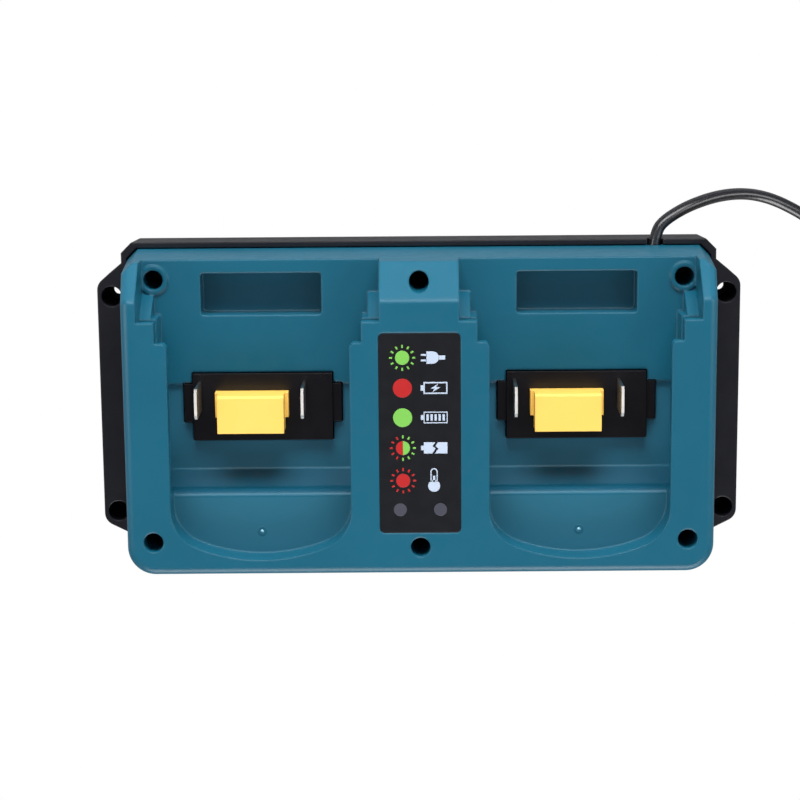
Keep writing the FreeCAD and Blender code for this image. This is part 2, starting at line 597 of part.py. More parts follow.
def make_base_tray():
    """The black tray: a rim round the cover, screw bosses, board posts and two mounting ears."""
    tray = new_body("base_tray")
    loft(tray, "Additive", "tray_form", [(as_length(0), tray_outline(as_length(0), 0)),
                                         (size.rim_level, tray_outline(size.rim_level, 0))])
    root_x = size.body_width / 2 - size.tray_wall
    half_span = size.ear_span / 2
    ears = []
    for side in BOTH:
        ear = [(side * root_x, -size.ear_root_front), (side * half_span, -size.ear_front),
               (side * half_span, size.ear_rear), (side * root_x, size.ear_root_rear + size.tray_wall)]
        ears.append(ear if side > 0 else ear[::-1])
    add(tray, "ears", "XY_Plane", ears, 0, size.rim_level)
    dress(tray, "Fillet", "ear_corners",
          lambda edge: along(edge, 2) and abs(abs(edge.BoundBox.Center.x) - half_span.value) < 0.1,
          size.ear_corner)
    dress(tray, "Chamfer", "foot_edge",
          lambda edge: edge.BoundBox.ZMax < 0.01, size.foot_chamfer)
    remove(tray, "rim_recess", "XY_Plane", [tray_outline(size.rim_level, size.rim_lip)],
           size.rim_level + OVER, size.ledge_level)
    remove(tray, "tray_inside", "XY_Plane", [tray_outline(size.rim_level, size.tray_wall)],
           size.ledge_level + OVER, size.tray_floor)
    add(tray, "screw_bosses", "XY_Plane", [Ring(x, y, size.boss_width) for x, y in WELLS],
        size.tray_floor - size.fuse_in, size.pillar_foot)
    remove(tray, "boss_bores", "XY_Plane",
           [Ring(x, y, size.screw_shank + size.bore_clearance) for x, y in WELLS],
           size.pillar_foot + OVER, size.well_seat - size.screw_length - OVER)
    add(tray, "board_posts", "XY_Plane", [Ring(x, y, size.post_width) for x, y in BOARD_POSTS],
        size.tray_floor - size.fuse_in, size.board_level)
    add(tray, "clamp_posts", "XY_Plane",
        [Ring(size.clamp_x + side * size.clamp_post_x, size.clamp_y, size.post_width) for side in BOTH],
        size.tray_floor - size.fuse_in, size.lead_level + size.lead_width / 2)
    saddle_half = size.clamp_post_x - size.post_width / 2 + size.fuse_in
    add(tray, "clamp_saddle", "XY_Plane",
        [rectangle(mirrored_pair(size.clamp_x, saddle_half),
                   mirrored_pair(size.clamp_y, size.clamp_length / 4))],
        size.tray_floor - size.fuse_in, size.lead_level - size.lead_width / 2)
    bore = size.small_shank + size.bore_clearance
    remove(tray, "board_bores", "XY_Plane", [Ring(x, y, bore) for x, y in BOARD_POSTS],
           size.board_level + OVER, size.board_level - size.small_length + size.board_thickness)
    remove(tray, "clamp_bores", "XY_Plane",
           [Ring(size.clamp_x + side * size.clamp_post_x, size.clamp_y, bore) for side in BOTH],
           size.lead_level + size.lead_width / 2 + OVER, size.lead_level - size.small_length)
    ear_holes = [(side * size.ear_hole_x, place) for side in BOTH
                 for place in (size.ear_hole_rear, -size.ear_hole_front)]
    remove(tray, "ear_recesses", "XY_Plane", [Ring(x, y, size.ear_recess) for x, y in ear_holes],
           size.rim_level + OVER, size.ear_web)
    remove(tray, "ear_bores", "XY_Plane", [Ring(x, y, size.ear_bore) for x, y in ear_holes],
           size.ear_web + OVER, -OVER)
    cores = []
    for side in BOTH:
        reach = (size.body_width / 2 + size.ear_wall / 2, half_span - size.ear_wall)
        reach = reach if side > 0 else (-reach[1], -reach[0])
        cores.append(rectangle(reach, (-size.ear_hole_front + size.ear_core_end,
                                       size.ear_hole_rear - size.ear_core_end)))
    remove(tray, "ear_cores", "XY_Plane", cores, -OVER, size.rim_level - size.ear_web)
    slots = []
    for bank in BOTH:
        for place in range(VENT_SLOTS):
            middle = bank * size.vent_bank_x + (place - (VENT_SLOTS - 1) / 2) * size.vent_pitch
            slots.append(rectangle(mirrored_pair(middle, size.vent_width / 2),
                                   mirrored_pair(as_length(0), size.vent_length / 2)))
    remove(tray, "vents", "XY_Plane", slots, size.tray_floor + OVER, -OVER)
    cut_lead_notch(tray, size.rim_level + OVER, size.body_depth / 2 + OVER,
                   size.body_depth / 2 - size.tray_wall - OVER)
    keep("base_tray", tray)


def make_terminals(side_name, centre):
    """One bay's black terminal block with its two blades, signal socket, contacts and wires."""
    middle = centre - size.connector_shift
    body = new_body(f"terminal_block_{side_name}")
    add(body, "stem", "XY_Plane", [block_outline(centre, 0)], size.block_foot, size.block_ear_top)
    narrow = mirrored_pair(centre, size.block_width / 2)
    add(body, "crown", "XY_Plane", [rectangle(narrow, (-size.block_front, size.block_rear))],
        size.block_ear_top - size.fuse_in, size.block_top)
    flange_y = (-size.block_front - size.flange_margin, size.block_rear + size.flange_margin)
    flange_x = mirrored_pair(centre, size.block_ear_width / 2 + size.flange_margin)
    add(body, "flange", "XY_Plane", [rectangle(flange_x, flange_y)],
        floor_under - size.flange_thickness, floor_under)
    blade_half = size.blade_thickness / 2 + size.blade_fit
    slots = [rectangle(mirrored_pair(middle + side * size.blade_spread, blade_half),
                       (size.blade_front - size.blade_fit, size.blade_rear + size.blade_fit))
             for side in BOTH]
    remove(body, "blade_slots", "XY_Plane", slots, size.block_top + OVER, size.block_foot - OVER)
    socket_x = mirrored_pair(middle, size.socket_base_width / 2 + size.blade_fit)
    remove(body, "socket_pocket", "XY_Plane",
           [rectangle(socket_x, (-size.socket_base_front - size.blade_fit,
                                 size.socket_base_rear + size.blade_fit))],
           size.block_top + OVER, size.socket_foot)
    signal_ways = [Ring(middle + place * size.contact_pitch, size.signal_y,
                        size.signal_width + 2 * size.bore_clearance) for place in CONTACT_PLACES]
    remove(body, "signal_ways", "XY_Plane", signal_ways, size.socket_foot + OVER, size.block_foot - OVER)
    remove(body, "flange_holes", "XY_Plane",
           [Ring(x, y, size.small_shank + 2 * size.bore_clearance) for x, y in flange_screws(centre)],
           floor_under + OVER, floor_under - size.flange_thickness - OVER)
    keep(f"terminal_block_{side_name}", body)

    blades = []
    for blade_name, side in BOTH_SIDES:
        x = middle + side * size.blade_spread
        blade = new_body(f"blade_{side_name}_{blade_name}")
        tip = size.blade_tip - size.blade_taper
        profile = [(size.blade_front, size.blade_tail), (size.blade_rear, size.blade_tail),
                   (size.blade_rear, tip), (size.blade_rear - size.blade_taper, size.blade_tip),
                   (size.blade_front + size.blade_taper, size.blade_tip), (size.blade_front, tip)]
        add(blade, "strip", "YZ_Plane", [profile], x - size.blade_thickness / 2, x + size.blade_thickness / 2)
        blades.append(blade)
    keep(f"power_blades_{side_name}", group(f"power_blades_{side_name}", blades))

    socket = new_body(f"connector_{side_name}")
    add(socket, "base", "XY_Plane",
        [rectangle(mirrored_pair(middle, size.socket_base_width / 2),
                   (-size.socket_base_front, size.socket_base_rear))],
        size.socket_foot, size.socket_base_top)
    add(socket, "hood", "XY_Plane",
        [rectangle(mirrored_pair(middle, size.socket_width / 2), (-size.socket_front, size.socket_base_rear))],
        size.socket_hood_foot, size.socket_top)
    mouth_x = mirrored_pair(middle, size.socket_width / 2 - size.socket_skin)
    remove(socket, "mouth", "XZ_Plane",
           [rectangle(mouth_x, (size.socket_hood_foot + size.socket_skin, size.socket_top - size.socket_skin))],
           -size.socket_front - OVER, size.socket_base_rear - size.socket_back)
    dress(socket, "Chamfer", "rear_bevel",
          lambda edge: along(edge, 0) and near(edge, y=size.socket_base_rear, z=size.socket_top, tolerance=0.2),
          size.socket_bevel)
    remove(socket, "signal_ways", "XY_Plane", signal_ways,
           size.socket_hood_foot + size.socket_skin + OVER, size.socket_foot - OVER)
    keep(f"connector_{side_name}", socket)

    contacts, wires = [], []
    for place in CONTACT_PLACES:
        x = middle + place * size.contact_pitch
        contacts.append(block(f"contact_{side_name}_{place + 2}",
                              mirrored_pair(x, size.contact_thickness / 2),
                              (-size.socket_front + size.contact_setback, size.socket_base_rear - size.socket_back),
                              (size.socket_hood_foot + size.socket_skin,
                               size.socket_hood_foot + size.socket_skin + size.contact_height)))
        wires.append(rod(f"signal_{side_name}_{place + 2}", size.signal_width, x, size.signal_y,
                         (board_top, size.socket_hood_foot + size.socket_skin)))
    for blade_name, side in BOTH_SIDES:
        wires.append(rod(f"power_{side_name}_{blade_name}", size.wire_width, middle + side * size.blade_spread,
                         (size.blade_front + size.blade_rear) / 2, (board_top, size.blade_tail)))
    keep(f"signal_contacts_{side_name}", group(f"signal_contacts_{side_name}", contacts))
    keep(f"battery_leads_{side_name}", group(f"battery_leads_{side_name}", wires))
    return [screw(f"flange_screw_{side_name}_{place}", x, y, floor_under - size.flange_thickness, small=True,
                  length=size.flange_thickness + size.flange_bite)
            for place, (x, y) in enumerate(flange_screws(centre))]


def screw(name, x, y, seat, small=False, length=None, upward=True):
    """A round-headed screw. Its head rests at the seat; upward screws go in from below."""
    width, head, height = (size.small_shank, size.small_head, size.small_head_height) if small else \
        (size.screw_shank, size.screw_head, size.head_height)
    if upward:
        shank = rod(f"{name}_shank", width, x, y, (seat - size.fuse_in, seat + length))
        cap = rod(f"{name}_head", head, x, y, (seat - height, seat))
        slot_z = (seat - height - OVER, seat - height + size.drive_depth)
    else:
        shank = rod(f"{name}_shank", width, x, y, (seat - length, seat + size.fuse_in))
        cap = rod(f"{name}_head", head, x, y, (seat, seat + height))
        slot_z = (seat + height - size.drive_depth, seat + height + OVER)
    slot = rod(f"{name}_drive", size.drive_slot, x, y, slot_z)
    return cut(name, fused(f"{name}_solid", [shank, cap]), [slot])


def make_screws(terminal_screws):
    keep("housing_screws", group("housing_screws", [
        screw(f"housing_screw_{place}", x, y, size.well_seat, length=size.screw_length, upward=False)
        for place, (x, y) in enumerate(WELLS)]))
    keep("terminal_screws", group("terminal_screws", terminal_screws))
    keep("board_screws", group("board_screws", [
        screw(f"board_screw_{place}", x, y, board_top, small=True, length=size.small_length - size.bore_clearance,
              upward=False) for place, (x, y) in enumerate(BOARD_POSTS)]))
    keep("indicator_screws", group("indicator_screws", [
        screw(f"indicator_screw_{place}", as_length(0), -post, size.lamp_board_level, small=True,
              length=size.small_length, upward=True)
        for place, post in enumerate((size.lamp_post_rear, size.lamp_post_front))]))
    clamp_top = size.lead_level + size.lead_width / 2 + size.clamp_height
    keep("clamp_screws", group("clamp_screws", [
        screw(f"clamp_screw_{place}", size.clamp_x + side * size.clamp_post_x, size.clamp_y, clamp_top, small=True,
              length=clamp_top - size.lead_level + size.small_length - OVER, upward=False)
        for place, side in enumerate(BOTH)]))


def make_label_and_lamps():
    half = size.label_width / 2
    film = new_body("indicator_label")
    add(film, "film", "XY_Plane",
        [rounded_rectangle((-half, half), (-size.label_front, size.label_rear), size.label_corner)],
        size.top_level - size.label_thickness, size.top_level)
    keep("indicator_label", film)
    pipes, lamps = [], []
    for name, side in BOTH_SIDES:
        x, y = side * size.window_x, -size.window_y
        stem = rod(f"pipe_stem_{name}", size.window_bore - 2 * size.bore_clearance, x, y,
                   (size.pipe_tail, size.top_level - size.label_thickness))
        flange = rod(f"pipe_flange_{name}", size.pipe_flange, x, y, (ceiling - size.flange_height, ceiling))
        pipes.append(fused(f"pipe_{name}", [stem, flange]))
        base = size.lamp_board_level + size.board_thickness
        barrel = rod(f"lamp_barrel_{name}", size.lamp_width, x, y, (base, base + size.lamp_height - size.lamp_width / 2))
        dome = doc.addObject("Part::Sphere", f"lamp_dome_{name}")
        bind(dome, "Radius", size.lamp_width / 2)
        for quantity, amount in (("x", x), ("y", y), ("z", base + size.lamp_height - size.lamp_width / 2)):
            bind(dome, f"Placement.Base.{quantity}", amount)
        lamps.append(fused(f"lamp_{name}", [barrel, dome]))
    keep("light_pipes", group("light_pipes", pipes))
    keep("indicator_lamps", group("indicator_lamps", lamps))
    lamp_board = new_body("indicator_board")
    board_half = size.lamp_board_width / 2
    add(lamp_board, "board", "XY_Plane",
        [rectangle((-board_half, board_half), (-size.lamp_board_front, size.lamp_board_rear))],
        size.lamp_board_level, size.lamp_board_level + size.board_thickness)
    bore = size.small_shank + 2 * size.bore_clearance
    remove(lamp_board, "holes", "XY_Plane",
           [Ring(0, -post, bore) for post in (size.lamp_post_rear, size.lamp_post_front)],
           size.lamp_board_level + size.board_thickness + OVER, size.lamp_board_level - OVER)
    keep("indicator_board", lamp_board)


def make_main_board():
    board = new_body("main_board")
    half = size.board_depth / 2
    add(board, "board", "XY_Plane", [rectangle((-size.board_left, size.board_right), (-half, half))],
        size.board_level, board_top)
    remove(board, "holes", "XY_Plane",
           [Ring(x, y, size.small_shank + 2 * size.bore_clearance) for x, y in BOARD_POSTS],
           board_top + OVER, size.board_level - OVER)
    keep("main_board", board)


def on_board(height):
    return (board_top, board_top + height)


def finned_plate(name, x, y, height):
    """An extruded aluminium heat sink: a plate with fins, standing on the board."""
    plate = block(f"{name}_plate", x, (y, y + size.sink_plate), on_board(height))
    fins = []
    for place in range(SINK_FINS):
        left = x[0] + (x[1] - x[0] - size.sink_fin) * (place / (SINK_FINS - 1))
        fins.append(block(f"{name}_fin_{place}", (left, left + size.sink_fin),
                          (y + size.sink_plate - size.fuse_in, y + size.sink_plate + size.sink_fin_depth),
                          on_board(height)))
    return fused(name, [plate] + fins)


def package(name, x, y):
    """A three-legged power package, flat against its heat sink."""
    case = block(f"{name}_case", mirrored_pair(x, size.package_width / 2), (y - size.package_depth, y),
                 (board_top + size.package_stand, board_top + size.package_stand + size.package_height))
    legs = [block(f"{name}_leg_{place + 1}",
                  mirrored_pair(x + place * size.leg_pitch, size.leg_width / 2),
                  mirrored_pair(y - size.package_depth / 2, size.leg_width / 2),
                  (board_top, board_top + size.package_stand + size.fuse_in)) for place in (-1, 0, 1)]
    return fused(name, [case] + legs)


def make_electronics():
    keep("primary_heatsink", finned_plate("primary_heatsink", (as_length(-10), as_length(14)), as_length(20),
                                          size.sink_height))
    keep("switching_transistor", package("switching_transistor", as_length(2), as_length(20)))
    keep("secondary_heatsink", finned_plate("secondary_heatsink", (as_length(-60), as_length(-36)),
                                            as_length(-22), size.sink_height))
    keep("output_rectifier", package("output_rectifier", as_length(-48), as_length(-22)))
    keep("bridge_rectifier", block("bridge_rectifier", (as_length(12), as_length(24)),
                                   (as_length(11), as_length(14.6)), on_board(size.bridge_height)))
    keep("mains_filter_capacitor", block("mains_filter_capacitor", (as_length(20), as_length(38)),
                                         (as_length(18.5), as_length(27)), on_board(size.filter_height)))
    cans = [rod(f"bulk_{place}", size.bulk_width, x, -19, on_board(size.bulk_height))
            for place, x in enumerate((11, 29))]
    keep("bulk_capacitors", group("bulk_capacitors", cans))
    cans = [rod(f"output_can_{place}", size.can_width, x, y, on_board(size.can_height))
            for place, (x, y) in enumerate(((-40, 24), (-52, 24), (-41, 13), (-53, 13)))]
    keep("output_capacitors", group("output_capacitors", cans))
    keep("fuse", rod("fuse", size.fuse_width, (as_length(41), as_length(53)), 23, board_top + size.fuse_width / 2, "x"))
    chips = [block(f"chip_{place}", (as_length(x), as_length(x + 9)), (as_length(y), as_length(y + 5)),
                   on_board(size.chip_height)) for place, (x, y) in enumerate(((-24, -28), (38, -29), (-9, -29)))]
    keep("control_chips", group("control_chips", chips))
    for name, x, y in (("choke", 48, -10), ("output_choke", -20, 22)):
        ring_z = board_top + size.choke_width / 2 + size.choke_wire
        ring = rod(f"{name}_ring", size.choke_width, x, (y - size.choke_depth / 2, y + size.choke_depth / 2),
                   ring_z, "y")
        eye = rod(f"{name}_eye", size.choke_bore, x, (y - size.choke_depth, y + size.choke_depth), ring_z, "y")
        core = cut(f"{name}_core", ring, [eye])
        keep(f"{name}_core", core)
        sleeve = cut(f"{name}_winding",
                     rod(f"{name}_coil", size.choke_width + 2 * size.choke_wire, x,
                         (y - size.choke_depth / 2 - size.choke_wire, y + size.choke_depth / 2 + size.choke_wire),
                         ring_z, "y"),
                     [rod(f"{name}_coil_eye", size.choke_bore - 2 * size.choke_wire, x,
                          (y - size.choke_depth, y + size.choke_depth), ring_z, "y"),
                      block(f"{name}_gap", mirrored_pair(as_length(x), size.choke_window / 2),
                            (y - size.choke_depth, y + size.choke_depth),
                            mirrored_pair(ring_z, size.choke_width)),
                      rod(f"{name}_ring_space", size.choke_width, x,
                          (y - size.choke_depth / 2, y + size.choke_depth / 2), ring_z, "y")])
        keep(f"{name}_winding", sleeve)
    x, y = (as_length(-29), as_length(1)), (as_length(-16), as_length(12))
    half = size.core_limb
    shell = block("core_shell", x, mirrored_pair((y[0] + y[1]) / 2, size.core_depth / 2), on_board(size.core_height))
    window = block("core_window", (x[0] + half, x[1] - half), (y[0], y[1]),
                   (board_top + half, board_top + size.core_height - half))
    centre_x = (x[0] + x[1]) / 2
    limb = block("core_limb", mirrored_pair(centre_x, half), mirrored_pair((y[0] + y[1]) / 2, size.core_depth / 2),
                 on_board(size.core_height))
    keep("transformer_core", fused("transformer_core", [cut("core_frame", shell, [window]), limb]))
    inner = (board_top + half + size.winding_gap, board_top + size.core_height - half - size.winding_gap)
    hole = block("winding_hole", mirrored_pair(centre_x, half + size.winding_gap),
                 mirrored_pair((y[0] + y[1]) / 2, size.core_depth / 2 + size.winding_gap),
                 (inner[0] - OVER, inner[1] + OVER))
    wound = block("winding_solid", (x[0] + half + size.winding_gap, x[1] - half - size.winding_gap),
                  (y[0], y[1]), inner)
    keep("transformer_winding", cut("transformer_winding", wound, [hole]))


# The mains lead. The loose stretches follow hand-chosen points; the rest is wound in a flat coil.

def point(x, y, z):
    return FreeCAD.Vector(x, y, z)


LEAD_EXIT = point(71.8, 47.4, 15.5)
TAIL_ROUTE = [point(69.0, 24.0, 15.5), point(69.2, 35.0, 15.5), LEAD_EXIT]
LEAD_ROUTE = [LEAD_EXIT, point(72.3, 49.75, 15.4), point(73.7, 51.95, 15.2), point(76.9, 54.35, 14.7),
              point(82.2, 57.1, 13.4), point(89.9, 59.4, 10.6), point(97.3, 60.1, 7.4), point(103.8, 59.4, 4.8),
              point(110.0, 57.5, 3.0), point(116.3, 54.4, 2.1), point(122.9, 50.3, 1.82)]
END_TURNS = ((8.0, -63.0, 0.1), (7.5, -57.0, 0.5), (8.0, -60.0, 0.39))
WIRE_ROUTES = [
    [point(68.1, 24.0, 15.5), point(68.1, 19.5, 15.4), point(65.6, 15.8, 14.4), point(61.2, 13.9, 13.9),
     point(57.6, 13.3, 12.4), point(57.4, 13.2, 8.6)],
    [point(69.9, 24.0, 15.5), point(69.9, 18.5, 15.2), point(66.8, 13.4, 14.0), point(61.6, 11.0, 13.4),
     point(57.8, 10.3, 12.2), point(57.6, 10.2, 8.6)],
]
RUN_SHARE = 0.45


def tube(node, edges, width):
    """A round solid tube along joined edges, checked against its section times its length."""
    path = Part.Wire(edges)
    start = edges[0]
    heading = start.tangentAt(start.FirstParameter)
    ring = Part.Wire([Part.Circle(start.valueAt(start.FirstParameter), heading, width / 2).toShape()])
    solid = path.makePipeShell([ring], True, False)
    expected = path.Length * math.pi * (width / 2) ** 2
    print(f"{node}: {path.Length:.1f} mm long, volume over section times length {solid.Volume / expected:.4f}")
    thing = doc.addObject("Part::Feature", node)
    thing.Shape = solid
    return thing


def run_and_arc_edges(node, route):
    """Straight runs joined by arcs, each as large as its two runs allow."""
    edges, place, radii = [], route[0], []
    for before, corner, after in zip(route, route[1:], route[2:]):
        arriving, leaving = corner - before, after - corner
        turn = arriving.getAngle(leaving)
        reach = RUN_SHARE * min(arriving.Length, leaving.Length)
        radius = reach / math.tan(turn / 2)
        start = corner - arriving.normalize() * reach
        end = corner + leaving.normalize() * reach
        inward = (start + end) / 2 - corner
        depth = radius / math.cos(turn / 2) - radius
        middle = corner + inward.normalize() * depth
        edges += [Part.LineSegment(place, start).toShape(), Part.Arc(start, middle, end).toShape()]
        place = end
        radii.append(round(radius, 1))
    edges.append(Part.LineSegment(place, route[-1]).toShape())
    print(f"{node}: radii {radii}")
    return edges


def arc_leaving(start, heading, end):
    """The arc that leaves start along the heading and ends at end."""
    chord = end - start
    along_chord = FreeCAD.Vector(chord).normalize()
    side = heading - along_chord * heading.dot(along_chord)
    if side.Length < 1e-7:
        return Part.LineSegment(start, end).toShape()
    swing = heading.getAngle(along_chord)
    middle = start + chord / 2 + side.normalize() * (chord.Length / 2 * math.tan(swing / 2))
    return Part.Arc(start, middle, end).toShape()


def biarc(start, heading, end, arriving):
    """Two arcs that join start to end and are tangent to both headings and to each other."""
    way = end - start
    both = heading + arriving
    spare = 2 * (1 - heading.dot(arriving))
    if spare < 1e-9:
        reach = way.dot(way) / (4 * way.dot(arriving))
    else:
        reach = (math.sqrt(way.dot(both) ** 2 + spare * way.dot(way)) - way.dot(both)) / spare
    joint = (start + heading * reach + end - arriving * reach) / 2
    second = arc_leaving(end, -arriving, joint)
    return [arc_leaving(start, heading, joint), second]


def coil_point(turned):
    """The centre of the wound lead: spiralling in on the lower layer and out again on the upper one."""
    whole = size.coil_turns.value * 2 * math.pi
    half = whole / 2
    radius = size.coil_outer.value - size.coil_pitch.value * (half - abs(turned - half)) / (2 * math.pi)
    climbed = min(max((turned - half) / math.pi + 0.5, 0), 1)
    level = size.lead_width.value / 2 + size.coil_pitch.value * climbed ** 2 * (3 - 2 * climbed)
    angle = math.radians(size.coil_start_angle.value) + turned
    return point(size.coil_x.value + radius * math.cos(angle), size.coil_y.value + radius * math.sin(angle), level)


def coil_heading(turned):
    whole = size.coil_turns.value * 2 * math.pi
    step = 1e-4
    low, high = max(turned - step, 0), min(turned + step, whole)
    return (coil_point(high) - coil_point(low)).normalize()


def least_self_gap(edges, width):
    """The least space between stretches of the lead that are more than a third of a turn apart."""
    spots, travelled = [], 0.0
    for edge in edges:
        for spot in edge.discretize(6)[:-1]:
            spots.append((travelled, spot))
            travelled += edge.Length / 5
    apart = size.coil_outer.value
    return min((first - second).Length for at, first in spots for later, second in spots
               if later - at > apart) - width


def make_mains_lead():
    width = size.lead_width.value
    whole = size.coil_turns.value * 2 * math.pi
    steps = round(whole / (math.pi / 2))
    places = [whole * step / steps for step in range(steps + 1)]
    headings = [coil_heading(place) for place in places]
    first, last = coil_point(places[0]), coil_point(places[-1])
    coil_start = first - headings[0] * width
    coil_end = last + headings[-1] * width
    turns = [Part.LineSegment(coil_start, first).toShape()]
    for place in range(steps):
        turns += biarc(coil_point(places[place]), headings[place], coil_point(places[place + 1]), headings[place + 1])
    turns.append(Part.LineSegment(last, coil_end).toShape())
    turns = Part.__sortEdges__(turns)
    print(f"mains_cord_coil: least gap to itself {least_self_gap(turns, width):.2f} mm")
    free = LEAD_ROUTE + [coil_start - headings[0] * (2 * width), coil_start]
    end = [coil_end]
    for run, heading, rise in END_TURNS:
        angle = math.radians(heading)
        end.append(end[-1] + point(run * math.cos(angle), run * math.sin(angle), rise))
    keep("cord_tail", tube("cord_tail", run_and_arc_edges("cord_tail", TAIL_ROUTE), width))
    keep("mains_cord", tube("mains_cord", run_and_arc_edges("mains_cord", free), width))
    keep("mains_cord_coil", tube("mains_cord_coil", turns, width))
    keep("mains_cord_end", tube("mains_cord_end", run_and_arc_edges("mains_cord_end", end), width))
    wires = [tube(f"mains_wire_{place}", run_and_arc_edges(f"mains_wire_{place}", route), size.wire_width.value)
             for place, route in enumerate(WIRE_ROUTES)]
    keep("mains_wires", group("mains_wires", wires))
    lead_top = size.lead_level + size.lead_width / 2
    bar = block("clamp_bar", mirrored_pair(size.clamp_x, size.clamp_post_x + size.post_width / 2),
                mirrored_pair(size.clamp_y, size.clamp_length / 2), (lead_top, lead_top + size.clamp_height))
    holes = [rod(f"clamp_hole_{place}", size.small_shank + 2 * size.bore_clearance,
                 size.clamp_x + side * size.clamp_post_x, size.clamp_y, (lead_top - OVER, lead_top + 2 * OVER + 1))
             for place, side in enumerate(BOTH)]
    keep("cord_clamp", cut("cord_clamp", bar, holes))
    make_plug(end[-1], END_TURNS[-1][1])


def make_plug(neck, heading):
    """A flat two-pin plug lying on its broad side, with the lead moulded into its tapered sleeve."""
    placement = FreeCAD.Placement(point(neck.x, neck.y, size.plug_height.value / 2),
                                  FreeCAD.Rotation(FreeCAD.Vector(0, 0, 1), heading))
    half_height = size.plug_height / 2
    shoulder = size.sleeve_length + size.plug_length / 3
    face = size.sleeve_length + size.plug_length
    half_neck, half_face = size.plug_neck / 2, size.plug_width / 2
    body = new_body("plug_body")
    add(body, "grip", "XY_Plane",
        [[(size.sleeve_length, -half_neck), (shoulder, -half_face), (face, -half_face), (face, half_face),
          (shoulder, half_face), (size.sleeve_length, half_neck)]], -half_height, half_height)
    dress(body, "Fillet", "soft_edges", lambda edge: edge.BoundBox.XMin < face.value - 0.1, size.plug_edge)
    sleeve = [(as_length(0), as_length(0)), (size.sleeve_length + size.fuse_in, as_length(0)),
              (size.sleeve_length + size.fuse_in, size.sleeve_width / 2 + size.fuse_in),
              (as_length(0), size.lead_width / 2 + size.fuse_in / 2)]
    drawing = sketch(body, "sleeve_outline", "XY_Plane", [sleeve], 0)
    turned = body.newObject("PartDesign::Revolution", "sleeve")
    turned.Profile = drawing
    turned.ReferenceAxis = (drawing, ["H_Axis"])
    turned.Angle = 360
    body.Tip = turned
    doc.recompute()
    pins = [side * size.pin_spread / 2 for side in BOTH]
    add(body, "pin_sleeves", "YZ_Plane", [Ring(y, 0, size.pin_width + size.fuse_in) for y in pins],
        face - size.fuse_in, face + size.pin_cover)
    remove(body, "pin_bores", "YZ_Plane", [Ring(y, 0, size.pin_width + 2 * size.blade_fit) for y in pins],
           face + size.pin_cover + OVER, face - size.pin_root)
    body.Placement = placement
    keep("plug_body", body)
    prongs = [rounded(f"prong_{place}", rod(f"prong_bar_{place}", size.pin_width, (face - size.pin_root, face + size.pin_length),
                                            y, 0, "x"),
                      lambda edge: edge.BoundBox.XMin > (face + size.pin_length).value - 0.1, size.pin_width / 2.5)
              for place, y in enumerate(pins)]
    both = group("plug_pins", prongs)
    both.Placement = placement
    keep("plug_pins", both)


def finish():
    doc.recompute()
    for thing in doc.Objects:
        if "Invalid" in thing.State or "Error" in thing.State:
            raise SystemExit(f"{thing.Label} failed: {thing.State}")
    for node, thing in nodes.items():
        if thing.Shape.isNull() or not thing.Shape.isValid():
            raise SystemExit(f"{node} has no sound shape")
    os.makedirs("parts", exist_ok=True)
    for node, thing in nodes.items():
        thing.Shape.exportStep(f"parts/{node}.step")
    print(len(nodes), "sub-parts")


make_top_cover()
make_base_tray()
terminal_screws = []
for (name, side), centre in zip(BOTH_SIDES, bay_centres):
    terminal_screws += make_terminals(name, centre)
make_screws(terminal_screws)
make_label_and_lamps()
make_main_board()
make_electronics()
make_mains_lead()
finish()
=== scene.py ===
"""A two-bay battery charger: camera and light, the finish of every piece, the printed label and the mains lead."""
import math

import bmesh
import bpy
from mathutils import Matrix, Vector


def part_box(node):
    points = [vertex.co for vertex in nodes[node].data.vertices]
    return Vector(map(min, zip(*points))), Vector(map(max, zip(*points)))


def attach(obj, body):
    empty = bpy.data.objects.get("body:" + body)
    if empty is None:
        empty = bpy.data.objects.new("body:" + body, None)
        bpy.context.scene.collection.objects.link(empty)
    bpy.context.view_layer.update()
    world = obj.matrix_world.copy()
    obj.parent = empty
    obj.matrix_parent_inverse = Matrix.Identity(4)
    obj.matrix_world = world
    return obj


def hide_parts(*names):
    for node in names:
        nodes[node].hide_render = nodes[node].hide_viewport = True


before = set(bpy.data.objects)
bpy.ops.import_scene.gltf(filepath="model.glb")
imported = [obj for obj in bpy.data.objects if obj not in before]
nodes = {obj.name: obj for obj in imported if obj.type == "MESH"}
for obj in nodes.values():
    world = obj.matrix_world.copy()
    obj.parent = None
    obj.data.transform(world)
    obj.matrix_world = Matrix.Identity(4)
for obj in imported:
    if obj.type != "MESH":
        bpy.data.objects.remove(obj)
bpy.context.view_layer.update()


# The view. A long lens looks down at the charger from a little behind it, so the label reads upright. The
# shifts slide the picture over the sensor, as shares of its width.

MM = 0.001
VIEW_TILT, VIEW_ROLL = math.radians(10.5), math.radians(0.42)
VIEW_DISTANCE, NEAREST = 665 * MM, 50 * MM
LENS, SENSOR_WIDTH = 95.2, 36
SHIFT_ACROSS, SHIFT_UP = -0.0244, -0.0193

